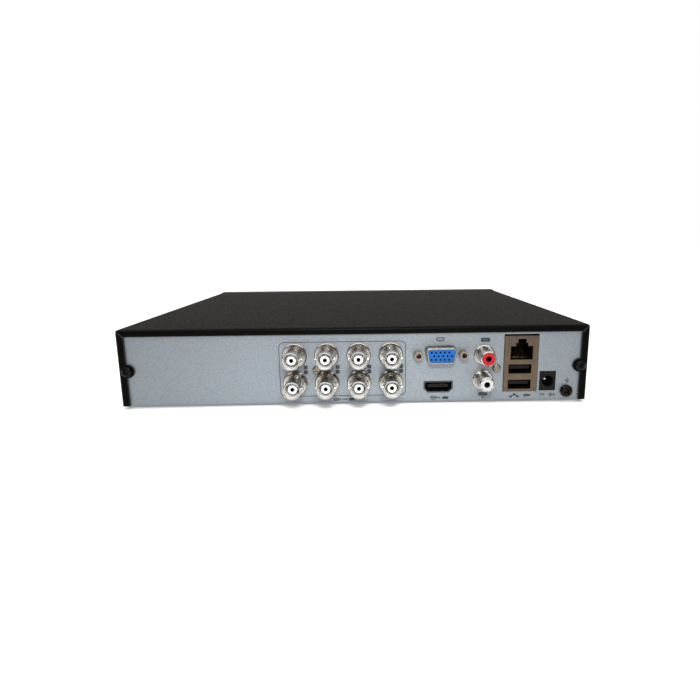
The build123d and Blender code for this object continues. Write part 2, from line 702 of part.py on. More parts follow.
# ---- Digital video socket -------------------------------------------------------------------
with BuildPart() as digital_shell:
    with BuildSketch(PANEL.offset(0.2)):
        with Locations((VIDEO_X, VIDEO_Z)):
            add(bevelled_outline(VIDEO_WIDTH, VIDEO_HEIGHT, 2.0))
            add(bevelled_outline(VIDEO_WIDTH - 0.8, VIDEO_HEIGHT - 0.8, 1.8), mode=Mode.SUBTRACT)
    extrude(amount=-12.0)
save(digital_shell.part, "digital_shell")

with BuildPart() as digital_insert:
    with BuildSketch(PANEL.offset(-8.0)):
        with Locations((VIDEO_X, VIDEO_Z)):
            add(bevelled_outline(VIDEO_WIDTH - 0.9, VIDEO_HEIGHT - 0.9, 1.8))
    extrude(amount=-3.8)
    with BuildSketch(PANEL.offset(-1.0)):
        with Locations((VIDEO_X, VIDEO_Z + 0.3)):
            Rectangle(11.6, 1.7)
    extrude(amount=-7.5)
save(digital_insert.part, "digital_insert")

# ---- Sound sockets --------------------------------------------------------------------------
with BuildPart() as rca_housing:
    with BuildSketch(Plane.XY.offset(BOARD_TOP)):
        with Locations((RCA_X - 1.2, HOUSING_FRONT + 6.5)):
            Rectangle(13.6, 13)
    extrude(amount=28.0)
    with BuildSketch(Plane.XY.offset(BOARD_TOP + 9)):
        with Locations((RCA_X + 7.2, HOUSING_FRONT + 4.5)):
            Rectangle(6.4, 9)
    extrude(amount=10.0)
    with BuildSketch(PANEL.offset(-SHEET)):
        with Locations(*RCA_CENTRES.values()):
            Circle(RCA_BARREL + FIT)
    extrude(amount=-8, mode=Mode.SUBTRACT)
    with BuildSketch(PANEL.offset(-SHEET)):
        with Locations(PANEL_SCREWS[0]):
            Circle(SCREW_HOLE)
    extrude(amount=-6, mode=Mode.SUBTRACT)
save(rca_housing.part, "rca_housing")

for place, (x, z) in RCA_CENTRES.items():
    with BuildPart() as rca_shell:
        with BuildSketch(section(x, z)):
            with BuildLine():
                Polyline(
                    (RCA_CORE, -8.0),
                    (RCA_BARREL, -8.0),
                    (RCA_BARREL, 0),
                    (RCA_FLANGE, 0),
                    (RCA_FLANGE, 1.0),
                    (RCA_FLANGE - 0.5, 1.5),
                    (RCA_BARREL + 0.45, 1.5),
                    (RCA_BARREL + 0.45, 2.6),
                    (RCA_BARREL, 2.6),
                    (RCA_BARREL, RCA_REACH - 0.5),
                    (RCA_BARREL - 0.5, RCA_REACH),
                    (RCA_CORE, RCA_REACH),
                    close=True,
                )
            make_face()
        revolve(axis=outward_axis(x, z))
    save(rca_shell.part, f"rca_shell_{place}")

    with BuildPart() as rca_core:
        with BuildSketch(seat(x, z, RCA_REACH + 0.1)):
            Circle(RCA_CORE - 0.05)
        extrude(amount=-(RCA_REACH + 8.0))
        with BuildSketch(seat(x, z, RCA_REACH + 0.1)):
            Circle(1.65)
        extrude(amount=-10.0, mode=Mode.SUBTRACT)
        # Eight small notches around the core's mouth.
        with BuildSketch(seat(x, z, RCA_REACH + 0.1)):
            with PolarLocations(RCA_CORE, 8):
                Circle(0.45)
        extrude(amount=-0.8, mode=Mode.SUBTRACT)
    save(rca_core.part, f"rca_core_{place}")

# ---- Network socket above two serial bus sockets, in one metal cage ------------------------------
CAGE_X = (CAGE_LEFT + CAGE_RIGHT) / 2
CAGE_WIDTH = CAGE_RIGHT - CAGE_LEFT
CAGE_HEIGHT = CAGE_TOP - BOARD_TOP
CAGE_FRONT = REAR - CAGE_PROUD
with BuildPart() as lan_usb_cage:
    with BuildSketch(Plane.XY.offset(BOARD_TOP)):
        with Locations((CAGE_X, CAGE_FRONT + CAGE_DEPTH / 2)):
            Rectangle(CAGE_WIDTH, CAGE_DEPTH)
    extrude(amount=CAGE_HEIGHT)
    offset(amount=-CAGE_WALL, openings=lan_usb_cage.faces().sort_by(Axis.Z)[0])
    with BuildSketch(PANEL.offset(1)):
        with Locations((LAN_X, LAN_Z)):
            add(stepped_outline(LAN_WIDTH, LAN_HEIGHT))
        for usb_z in USB_Z:
            with Locations((USB_X, usb_z)):
                Rectangle(USB_WIDTH, USB_HEIGHT)
    extrude(amount=-3, mode=Mode.SUBTRACT)
save(lan_usb_cage.part, "lan_usb_cage")

with BuildPart() as socket_insert:
    with BuildSketch(Plane.XY.offset(BOARD_TOP)):
        with Locations((CAGE_X, CAGE_FRONT + CAGE_DEPTH / 2)):
            Rectangle(CAGE_WIDTH - 2 * CAGE_WALL - 0.1, CAGE_DEPTH - 2 * CAGE_WALL - 0.1)
    extrude(amount=CAGE_HEIGHT - CAGE_WALL - 0.05)
    with BuildSketch(PANEL.offset(1)):
        with Locations((LAN_X, LAN_Z)):
            add(stepped_outline(LAN_WIDTH, LAN_HEIGHT))
    extrude(amount=-16, mode=Mode.SUBTRACT)
    with BuildSketch(PANEL.offset(1)):
        for usb_z in USB_Z:
            with Locations((USB_X, usb_z)):
                Rectangle(USB_WIDTH, USB_HEIGHT)
    extrude(amount=-13, mode=Mode.SUBTRACT)
save(socket_insert.part, "socket_insert")

with BuildPart() as usb_tongues:
    with BuildSketch(PANEL.offset(-12)):
        for usb_z in USB_Z:
            with Locations((USB_X, usb_z + 0.7)):
                Rectangle(11.2, 1.8)
    extrude(amount=10.5)
save(usb_tongues.part, "usb_tongues")

# ---- Power inlet ----------------------------------------------------------------------------
with BuildPart() as power_body:
    with BuildSketch(seat(POWER_X, POWER_Z, 0.6)):
        Rectangle(POWER_WIDTH, POWER_HEIGHT)
    extrude(amount=-14.6)
    chamfer(power_body.faces().sort_by(Axis.Y)[0].edges(), 0.3)
    with BuildSketch(seat(POWER_X, POWER_Z, 0.6)):
        Circle(POWER_BORE)
    extrude(amount=-10, mode=Mode.SUBTRACT)
    with BuildSketch(seat(POWER_X, POWER_Z, -9)):
        Circle(POWER_PIN + 0.02)
    extrude(amount=-4, mode=Mode.SUBTRACT)
save(power_body.part, "power_body")

with BuildPart() as power_pin:
    with BuildSketch(seat(POWER_X, POWER_Z, -12)):
        Circle(POWER_PIN)
    extrude(amount=8.0)
    fillet(power_pin.faces().sort_by(Axis.Y)[0].edges(), 0.6)
save(power_pin.part, "power_pin")

# ---- Hard disk ------------------------------------------------------------------------------
DECK = 11.0
DISK_END = DISK_Y + DISK_LENGTH / 2
EDGE_CONNECTOR_X = -54.5
LID_BOTTOM = DISK_TOP - LID_THICKNESS
with BuildPart() as disk_base:
    with BuildSketch(Plane.XY.offset(DISK_BOTTOM)):
        with Locations((DISK_X, DISK_Y)):
            Rectangle(DISK_WIDTH, DISK_LENGTH)
    extrude(amount=LID_BOTTOM - DISK_BOTTOM)
    fillet(disk_base.edges().filter_by(Axis.Z), 3.0)
    # The round bay of the platters and the bay of the arm.
    with BuildSketch(Plane.XY.offset(DECK)):
        with Locations((DISK_X, SPINDLE_Y)):
            Circle(PLATTER_RADIUS + 1.2)
        with Locations((DISK_X + 6.5, PIVOT_Y + 2)):
            Rectangle(79, 58)
    extrude(amount=DISK_TOP, mode=Mode.SUBTRACT)
    # The pocket under the base for the disk's own board.
    with BuildSketch(Plane.XY.offset(DISK_BOTTOM)):
        with Locations((DISK_X, DISK_Y + 32)):
            Rectangle(80, 84)
    extrude(amount=2.4, mode=Mode.SUBTRACT)
    with BuildSketch(Plane.XY.offset(DISK_BOTTOM)):
        with Locations((EDGE_CONNECTOR_X, DISK_END)):
            Rectangle(41, 10)
    extrude(amount=6.4, mode=Mode.SUBTRACT)
    # Spindle shaft and arm pivot.
    with BuildSketch(Plane.XY.offset(DECK)):
        with Locations((DISK_X, SPINDLE_Y), (PIVOT_X, PIVOT_Y)):
            Circle(3.0)
    extrude(amount=LID_BOTTOM - DECK - 1.0)
    with BuildSketch(Plane.XY.offset(DISK_BOTTOM)):
        with Locations(*DISK_HOLES):
            Circle(1.4)
    extrude(amount=5.0, mode=Mode.SUBTRACT)
save(disk_base.part, "disk_base")

with BuildPart() as disk_lid:
    with BuildSketch(Plane.XY.offset(LID_BOTTOM)):
        with Locations((DISK_X, DISK_Y)):
            RectangleRounded(DISK_WIDTH - 1, DISK_LENGTH - 1, 3.0)
    extrude(amount=LID_THICKNESS - 0.4)
    with BuildSketch(Plane.XY.offset(DISK_TOP - 0.4)):
        with Locations((DISK_X, SPINDLE_Y)):
            Circle(PLATTER_RADIUS - 4)
        with Locations((DISK_X, PIVOT_Y - 2)):
            RectangleRounded(74, 48, 6)
    extrude(amount=0.4)
save(disk_lid.part, "disk_lid")

with BuildPart() as disk_board:
    with BuildSketch(Plane.XY.offset(DISK_BOTTOM + 0.2)):
        with Locations((DISK_X, DISK_Y + 32)):
            Rectangle(79, 83)
    extrude(amount=1.2)
    # The edge connector, soldered on at the drive's end.
    with BuildSketch(Plane.XY.offset(DISK_BOTTOM + 0.2)):
        with Locations((EDGE_CONNECTOR_X, DISK_END - 2.3)):
            Rectangle(40, 4.6)
    extrude(amount=6.0)
save(disk_board.part, "disk_board")

HUB_BOTTOM = DECK + 0.6
HUB_TOP = LID_BOTTOM - 0.6
with BuildPart() as disk_hub:
    with BuildSketch(Plane.XY.offset(HUB_BOTTOM)):
        with Locations((DISK_X, SPINDLE_Y)):
            Circle(12.4)
    extrude(amount=PLATTER_Z[1] + PLATTER_THICKNESS - HUB_BOTTOM)
    with BuildSketch(Plane.XY.offset(HUB_BOTTOM)):
        with Locations((DISK_X, SPINDLE_Y)):
            Circle(15.0)
    extrude(amount=PLATTER_Z[0] - HUB_BOTTOM)
    # The ring that spaces the two platters.
    with BuildSketch(Plane.XY.offset(PLATTER_Z[0] + PLATTER_THICKNESS)):
        with Locations((DISK_X, SPINDLE_Y)):
            Circle(15.0)
    extrude(amount=PLATTER_Z[1] - PLATTER_Z[0] - PLATTER_THICKNESS)
    with BuildSketch(Plane.XY.offset(PLATTER_Z[1] + PLATTER_THICKNESS)):
        with Locations((DISK_X, SPINDLE_Y)):
            Circle(15.0)
    extrude(amount=HUB_TOP - PLATTER_Z[1] - PLATTER_THICKNESS)
    with BuildSketch(Plane.XY.offset(HUB_BOTTOM)):
        with Locations((DISK_X, SPINDLE_Y)):
            Circle(3.0 + FIT)
    extrude(amount=HUB_TOP, mode=Mode.SUBTRACT)
save(disk_hub.part, "disk_hub")

with BuildPart() as disk_platters:
    for platter_z in PLATTER_Z:
        with BuildSketch(Plane.XY.offset(platter_z)):
            with Locations((DISK_X, SPINDLE_Y)):
                Circle(PLATTER_RADIUS)
                Circle(12.5, mode=Mode.SUBTRACT)
        extrude(amount=PLATTER_THICKNESS)
save(disk_platters.part, "disk_platters")

# The arm at rest has its heads parked just outside the platters.
ARM_LENGTH = 48.0
ARM_REST_ANGLE = 193.0
ARM_THICKNESS = 1.0
ARM_BETWEEN = (PLATTER_Z[0] + PLATTER_Z[1] + PLATTER_THICKNESS - ARM_THICKNESS) / 2
ARM_Z = (PLATTER_Z[0] - 2.3, ARM_BETWEEN, PLATTER_Z[1] + 2.6)


def arm_plane(z):
    """A plane on the arm's pivot at height z, with local x along the arm at rest."""
    return Plane(origin=(PIVOT_X, PIVOT_Y, z)).rotated((0, 0, ARM_REST_ANGLE))


with BuildPart() as head_arm:
    with BuildSketch(Plane.XY.offset(ARM_Z[0])):
        with Locations((PIVOT_X, PIVOT_Y)):
            Circle(8.0)
    extrude(amount=ARM_Z[2] + ARM_THICKNESS - ARM_Z[0])
    for arm_z in ARM_Z:
        with BuildSketch(arm_plane(arm_z)):
            with BuildLine():
                Polyline((0, -7), (ARM_LENGTH, -1.5), (ARM_LENGTH, 1.5), (0, 7), close=True)
            make_face()
        extrude(amount=ARM_THICKNESS)
    # The coil paddle behind the pivot.
    with BuildSketch(arm_plane(ARM_Z[1] - 1)):
        with BuildLine():
            Polyline((0, -6), (-16, -9), (-16, 9), (0, 6), close=True)
        make_face()
    extrude(amount=3.0)
    with BuildSketch(Plane.XY.offset(ARM_Z[0])):
        with Locations((PIVOT_X, PIVOT_Y)):
            Circle(3.0 + FIT)
    extrude(amount=ARM_Z[2] + 2, mode=Mode.SUBTRACT)
save(head_arm.part, "head_arm")

# ---- Cables inside the case -----------------------------------------------------------------
# Each route is a list of places: it starts on one plug's face and ends on the other's.
PLUG_TOP = DISK_BOTTOM + 6.0
HEADER_TOP = BOARD_TOP + 10.0
LAMP_HEADER_TOP = BOARD_TOP + 7.0
DRIVE_PLUG_Y = DISK_END + 5.5
DATA_X = -67.0
SUPPLY_X = -47.0
HEADER_X = 6.0
DATA_HEADER_Y = 34.0
SUPPLY_HEADER_Y = 52.0
LAMP_HEADER_Y = 54.0
DATA_ROUTE = [
    (DATA_X, DRIVE_PLUG_Y, PLUG_TOP),
    (DATA_X, DRIVE_PLUG_Y, 21),
    (-63, 86, 31),
    (-52, 82, 38),
    (-34, 73, 39.5),
    (-14, 56, 38.5),
    (0, 42, 36),
    (HEADER_X, DATA_HEADER_Y, 29),
    (HEADER_X, DATA_HEADER_Y, HEADER_TOP),
]
SUPPLY_ROUTE = [
    (SUPPLY_X, DRIVE_PLUG_Y, PLUG_TOP),
    (SUPPLY_X, DRIVE_PLUG_Y, 20),
    (-43, 86, 29),
    (-34, 82, 35),
    (-20, 74, 37),
    (-6, 63, 36),
    (3, 55, 33),
    (HEADER_X, SUPPLY_HEADER_Y, 27),
    (HEADER_X, SUPPLY_HEADER_Y, HEADER_TOP),
]
LAMP_ROUTE = [
    (WINDOW_X, LAMP_BOARD_BACK - 6, 18),
    (WINDOW_X, 84, 18),
    (WINDOW_X + 1, 74, 22),
    (WINDOW_X + 0.5, 62, 25),
    (WINDOW_X, LAMP_HEADER_Y, 22),
    (WINDOW_X, LAMP_HEADER_Y, LAMP_HEADER_TOP),
]
ARC_SHARE = 0.45


def corner_radii(route):
    """The largest arc that the two runs at each corner of a route leave room for."""
    places = [Vector(*place) for place in route]
    radii = []
    for before, corner, after in zip(places, places[1:], places[2:]):
        shorter = min((corner - before).length, (after - corner).length)
        turn = (corner - before).get_angle(after - corner)
        radii.append(ARC_SHARE * shorter / tan(radians(turn / 2)))
    return radii


def cable(route, radius):
    """A round cable along a route: straight runs joined by tangent arcs."""
    radii = corner_radii(route)
    print("cable radii, mm:", [round(value, 1) for value in radii])
    with BuildPart() as tube:
        with BuildLine() as path:
            FilletPolyline(*route, radius=radii)
        centre_line = path.wire()
        with BuildSketch(Plane(origin=centre_line @ 0, z_dir=centre_line % 0)):
            Circle(radius)
        sweep(path=centre_line)
    full_volume = pi * radius**2 * centre_line.length
    print("cable volume over section times length:", round(tube.part.volume / full_volume, 4))
    return tube.part


save(cable(DATA_ROUTE, 1.8), "data_cable")
save(cable(SUPPLY_ROUTE, 2.2), "supply_cable")
save(cable(LAMP_ROUTE, 1.2), "lamp_cable")

with BuildPart() as cable_plugs:
    # Two plugs on the disk's edge connector.
    with BuildSketch(Plane.XY.offset(DISK_BOTTOM + 0.6)):
        with Locations((DATA_X, DISK_END + 4.5)):
            Rectangle(12, 9)
        with Locations((SUPPLY_X, DISK_END + 4.5)):
            Rectangle(22, 9)
    extrude(amount=PLUG_TOP - DISK_BOTTOM - 0.6)
    # Two tall plugs and a low one on the main board.
    with BuildSketch(Plane.XY.offset(BOARD_TOP)):
        with Locations((HEADER_X, DATA_HEADER_Y)):
            Rectangle(8, 13)
        with Locations((HEADER_X, SUPPLY_HEADER_Y)):
            Rectangle(10, 13)
    extrude(amount=HEADER_TOP - BOARD_TOP)
    with BuildSketch(Plane.XY.offset(BOARD_TOP)):
        with Locations((WINDOW_X, LAMP_HEADER_Y)):
            Rectangle(14, 5)
    extrude(amount=LAMP_HEADER_TOP - BOARD_TOP)
    # The plug on the back of the lamp board.
    with BuildSketch(Plane.XZ.offset(-LAMP_BOARD_BACK)):
        with Locations((WINDOW_X, 18)):
            Rectangle(14, 5)
    extrude(amount=6.0)
save(cable_plugs.part, "cable_plugs")
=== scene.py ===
"""Looks of an eight-channel video recorder, seen from its connector panel, around its CAD frame.

Metres throughout. +X is to the right when one faces the panel, which looks towards -Y. +Z is up.
"""

import json
import math
import random

import bmesh
import bpy
from mathutils import Matrix, Vector


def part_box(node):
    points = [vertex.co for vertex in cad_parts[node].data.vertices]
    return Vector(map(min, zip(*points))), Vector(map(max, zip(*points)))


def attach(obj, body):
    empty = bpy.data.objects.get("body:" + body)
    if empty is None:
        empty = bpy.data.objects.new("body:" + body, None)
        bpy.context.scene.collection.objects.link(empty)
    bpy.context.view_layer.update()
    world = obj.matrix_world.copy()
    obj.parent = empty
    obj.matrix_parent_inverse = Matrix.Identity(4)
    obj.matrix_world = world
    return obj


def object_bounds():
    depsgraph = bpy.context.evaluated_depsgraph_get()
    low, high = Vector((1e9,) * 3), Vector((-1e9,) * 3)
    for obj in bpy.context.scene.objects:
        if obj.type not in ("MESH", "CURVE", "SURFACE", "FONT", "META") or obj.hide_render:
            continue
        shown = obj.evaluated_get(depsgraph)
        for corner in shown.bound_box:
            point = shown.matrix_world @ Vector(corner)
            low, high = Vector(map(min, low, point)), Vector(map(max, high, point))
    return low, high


MM = 0.001

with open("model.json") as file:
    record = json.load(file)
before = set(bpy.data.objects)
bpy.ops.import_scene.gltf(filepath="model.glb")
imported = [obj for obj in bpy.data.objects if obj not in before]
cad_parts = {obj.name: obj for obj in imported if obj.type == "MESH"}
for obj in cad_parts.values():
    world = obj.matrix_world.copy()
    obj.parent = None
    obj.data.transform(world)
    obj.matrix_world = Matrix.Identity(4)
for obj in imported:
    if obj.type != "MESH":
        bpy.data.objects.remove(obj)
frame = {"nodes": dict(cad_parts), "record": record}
cad_low, cad_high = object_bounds()
nodes = frame["nodes"]
mounts = {mount["name"]: Vector(mount["pos_m"]) for mount in frame["record"]["mounts"]}


def corners(node):
    """A node's box as (lowest corner, highest corner, centre)."""
    low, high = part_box(node)
    return low, high, (low + high) / 2


chassis_low = corners("base_chassis")[0]
PANEL_Y = chassis_low.y
CASE_Z = chassis_low.z
BOARD_TOP = corners("main_board")[1].z


# ---- Working planes -----------------------------------------------------------------------------
# A plane is a matrix: local u and v lie in it, and local w is the height above it.


def plane(origin, u, w):
    u, w = Vector(u), Vector(w)
    return Matrix.Translation(origin) @ Matrix((u, w.cross(u), w)).transposed().to_4x4()


def panel_plane(z=0.0):
    """The panel's outer face, with its origin at a height: u is +X, v is +Z and w points outwards."""
    return plane((0, PANEL_Y, z), (1, 0, 0), (0, -1, 0))


def level_plane(z):
    """Horizontal, at a height: u is +X, v is +Y and w is up."""
    return plane((0, 0, z), (1, 0, 0), (0, 0, 1))


# ---- Outlines in a plane -------------------------------------------------------------------------


def rectangle(u, v, width, height, corner=0.0, steps=4):
    """A rectangle's outline centred on (u, v), with round corners."""
    points = []
    for quarter, (su, sv) in enumerate(((-1, -1), (1, -1), (1, 1), (-1, 1))):
        centre = (u + su * (width / 2 - corner), v + sv * (height / 2 - corner))
        for step in range(steps + 1 if corner else 1):
            angle = math.pi * (1 + quarter / 2 + step / steps / 2)
            points.append((centre[0] + corner * math.cos(angle), centre[1] + corner * math.sin(angle)))
    return points


def circle(u, v, radius, steps=24):
    turns = [math.tau * step / steps for step in range(steps)]
    return [(u + radius * math.cos(turn), v + radius * math.sin(turn)) for turn in turns]


def stroke(start, end, width):
    """The outline of a straight line of some width."""
    start, end = Vector(start), Vector(end)
    run = (end - start).normalized()
    side = Vector((-run.y, run.x)) * width / 2
    return [tuple(point) for point in (start - side, end - side, end + side, start + side)]


# ---- Solids in a mesh ----------------------------------------------------------------------------


def loft(mesh, place, sections):
    """Adds a closed solid: outlines with one number of points, each at its height, joined by walls."""
    rings = [
        [mesh.verts.new(place @ Vector((u, v, height))) for u, v in outline]
        for outline, height in sections
    ]
    for lower, upper in zip(rings, rings[1:]):
        for i in range(len(lower)):
            j = (i + 1) % len(lower)
            mesh.faces.new((lower[i], lower[j], upper[j], upper[i]))
    mesh.faces.new(rings[0][::-1])
    mesh.faces.new(rings[-1])


def prism(mesh, place, outline, low, high):
    loft(mesh, place, [(outline, low), (outline, high)])


def ring(mesh, place, sections):
    """Adds a closed ring: a loop of outlines around a hole, the last one joined to the first."""
    rings = [
        [mesh.verts.new(place @ Vector((u, v, height))) for u, v in outline]
        for outline, height in sections
    ]
    for lower, upper in zip(rings, rings[1:] + rings[:1]):
        for i in range(len(lower)):
            j = (i + 1) % len(lower)
            mesh.faces.new((lower[i], lower[j], upper[j], upper[i]))


def band(mesh, place, outer, inner, low, high):
    """Adds the flat strip between two outlines with one number of points."""
    ring(mesh, place, [(outer, low), (outer, high), (inner, high), (inner, low)])


def block(mesh, place, u, v, width, height, low, high, bevel=0.0, corner=0.0):
    """Adds a box whose top edges are bevelled."""
    outline = rectangle(u, v, width, height, corner)
    top = rectangle(u, v, width - 2 * bevel, height - 2 * bevel, max(corner - bevel / 2, 0.6 * corner))
    if bevel:
        loft(mesh, place, [(outline, low), (outline, high - bevel), (top, high)])
    else:
        prism(mesh, place, outline, low, high)


def turned(mesh, place, u, v, profile, steps=24):
    """Adds a solid turned on w at (u, v), from the (radius, height) pairs of its profile in turn."""
    loft(mesh, place, [(circle(u, v, radius, steps), height) for radius, height in profile])


def ribbon(mesh, place, path, width, thickness):
    """Adds a bent strip of metal: path is in (v, w), and the strip is as wide as width along u."""
    sides = []
    for i, point in enumerate(path):
        before = Vector(path[max(i - 1, 0)])
        after = Vector(path[min(i + 1, len(path) - 1)])
        run = (after - before).normalized()
        normal = Vector((-run.y, run.x)) * thickness / 2
        sides.append((Vector(point) - normal, Vector(point) + normal))
    rings = [
        [
            mesh.verts.new(place @ Vector((u, point.x, point.y)))
            for u, point in ((-width / 2, low), (width / 2, low), (width / 2, high), (-width / 2, high))
        ]
        for low, high in sides
    ]
    for first, second in zip(rings, rings[1:]):
        for i in range(4):
            j = (i + 1) % 4
            mesh.faces.new((first[i], first[j], second[j], second[i]))
    mesh.faces.new(rings[0][::-1])
    mesh.faces.new(rings[-1])


# ---- Materials ------------------------------------------------------------------------------------


class Paint:
    """A Principled material whose colour, roughness and relief vary through procedural nodes."""

    def __init__(self, name, colour, roughness, metallic=0.0, **sockets):
        self.material = bpy.data.materials.new(name)
        self.material.use_nodes = True
        self.tree = self.material.node_tree
        self.shader = self.tree.nodes["Principled BSDF"]
        self.shader.inputs["Base Color"].default_value = (*colour, 1)
        self.shader.inputs["Roughness"].default_value = roughness
        self.shader.inputs["Metallic"].default_value = metallic
        for socket, value in sockets.items():
            self.shader.inputs[socket.replace("_", " ")].default_value = value
        self.place = self.tree.nodes.new("ShaderNodeTexCoord").outputs["Object"]
        self.normal = None

    def link(self, source, target):
        self.tree.links.new(source, target)

    def noise(self, scale, detail=3.0, stretch=(1, 1, 1)):
        """Noise with about that many cells per metre."""
        mapping = self.tree.nodes.new("ShaderNodeMapping")
        mapping.inputs["Scale"].default_value = stretch
        self.link(self.place, mapping.inputs["Vector"])
        texture = self.tree.nodes.new("ShaderNodeTexNoise")
        texture.inputs["Scale"].default_value = scale
        texture.inputs["Detail"].default_value = detail
        self.link(mapping.outputs["Vector"], texture.inputs["Vector"])
        return texture.outputs["Fac"]

    def between(self, value, low, high, start=0.35, end=0.65):
        """Spreads a value that runs from start to end over low to high."""
        spread = self.tree.nodes.new("ShaderNodeMapRange")
        limits = {"From Min": start, "From Max": end, "To Min": low, "To Max": high}
        for socket, number in limits.items():
            spread.inputs[socket].default_value = number
        self.link(value, spread.inputs["Value"])
        return spread.outputs["Result"]

    def two_tone(self, first, second, scale, detail=3.0, stretch=(1, 1, 1), start=0.35, end=0.65):
        """Base colour that drifts between two colours."""
        ramp = self.tree.nodes.new("ShaderNodeValToRGB")
        ramp.color_ramp.elements[0].color = (*first, 1)
        ramp.color_ramp.elements[1].color = (*second, 1)
        ramp.color_ramp.elements[0].position = start
        ramp.color_ramp.elements[1].position = end
        self.link(self.noise(scale, detail, stretch), ramp.inputs["Fac"])
        self.link(ramp.outputs["Color"], self.shader.inputs["Base Color"])
        return self

    def gloss(self, low, high, scale, detail=3.0, stretch=(1, 1, 1)):
        """Roughness that drifts between two values."""
        value = self.between(self.noise(scale, detail, stretch), low, high)
        self.link(value, self.shader.inputs["Roughness"])
        return self

    def worn_edges(self, colour, reach):
        """Another base colour within reach, in metres, of an edge: a painted highlight where the colour
        is paler than the surface, painted shade where it is darker, both standing in for what the edges
        reflect.
        """
        bevel = self.tree.nodes.new("ShaderNodeBevel")
        bevel.samples = 4
        bevel.inputs["Radius"].default_value = reach
        face = self.tree.nodes.new("ShaderNodeNewGeometry")
        likeness = self.tree.nodes.new("ShaderNodeVectorMath")
        likeness.operation = "DOT_PRODUCT"
        self.link(bevel.outputs["Normal"], likeness.inputs[0])
        self.link(face.outputs["True Normal"], likeness.inputs[1])
        mix = self.tree.nodes.new("ShaderNodeMix")
        mix.data_type = "RGBA"
        base, painted_edge_colour = (socket for socket in mix.inputs if socket.type == "RGBA")
        base_socket = self.shader.inputs["Base Color"]
        self.link(base_socket.links[0].from_socket, base)
        painted_edge_colour.default_value = (*colour, 1)
        self.link(self.between(likeness.outputs["Value"], 1, 0, 0.85, 0.99), mix.inputs["Factor"])
        mixed = next(socket for socket in mix.outputs if socket.type == "RGBA")
        self.link(mixed, base_socket)
        return self

    def relief(self, scale, depth, detail=2.0, stretch=(1, 1, 1)):
        """Bumps of that depth in metres, on top of those of earlier calls."""
        bump = self.tree.nodes.new("ShaderNodeBump")
        bump.inputs["Distance"].default_value = depth
        self.link(self.noise(scale, detail, stretch), bump.inputs["Height"])
        if self.normal:
            self.link(self.normal, bump.inputs["Normal"])
        self.normal = bump.outputs["Normal"]
        self.link(self.normal, self.shader.inputs["Normal"])
        return self


def darker(colour, share):
    return tuple(share * part for part in colour)


def metal(name, colour, low, high, scale=400, contrast=0.85, depth=0.000004):
    """Plated or bare metal with faint stains and uneven polish."""
    paint = Paint(name, colour, (low + high) / 2, 1.0)
    paint.two_tone(darker(colour, contrast), colour, scale, 4)
    return paint.gloss(low, high, 2 * scale).relief(3 * scale, depth).material


def tarnished_nickel():
    """Bright nickel with dark brown painted shade along its edges, which stands in for the dark room
    that its rims reflect.
    """
    paint = Paint("nickel_satin", (0.44, 0.425, 0.40), 0.2, 1.0)
    paint.two_tone((0.41, 0.395, 0.372), (0.44, 0.425, 0.40), 200, 4)
    # Dark brown along the edges is painted shade.
    paint.worn_edges((0.13, 0.098, 0.068), 0.00045)
    return paint.gloss(0.16, 0.24, 400).relief(600, 0.0000003).material


def plastic(name, colour, low, high, scale=600, depth=0.00001, **sockets):
    """Moulded plastic: a faintly uneven colour and a fine grain."""
    paint = Paint(name, colour, (low + high) / 2, **sockets)
    paint.two_tone(darker(colour, 0.85), colour, scale, 3)
    return paint.gloss(low, high, 2 * scale).relief(4 * scale, depth).material


def powder_coat():
    paint = Paint("cover_powder_coat", (0.003, 0.003, 0.003), 0.42, Specular_IOR_Level=0.04)
    paint.two_tone((0.0004, 0.0004, 0.0004), (0.0020, 0.0019, 0.0018), 1800, 4)
    # Paler colour along every edge of the cover is a painted highlight, for the light reflected off its
    # folded edges.
    paint.worn_edges((0.060, 0.060, 0.057), 0.0006)
    return paint.gloss(0.36, 0.50, 900).relief(2600, 0.00002).relief(700, 0.00001).material


def silver_paint():
    paint = Paint("panel_silver", (0.20, 0.225, 0.245), 0.40, 0.45)
    paint.two_tone((0.178, 0.203, 0.225), (0.222, 0.252, 0.277), 1100, 6)
    return paint.gloss(0.36, 0.48, 900).relief(2400, 0.000008).material


def solder_mask():
    """Green lacquer over copper runs, which show as paler stripes."""
    paint = Paint("solder_mask", (0.02, 0.14, 0.06), 0.3)
    paint.two_tone((0.010, 0.085, 0.032), (0.016, 0.125, 0.050), 240, 1, (1, 0.15, 1), 0.47, 0.53)
    return paint.gloss(0.22, 0.36, 500).relief(240, 0.00002, 1, (1, 0.15, 1)).material


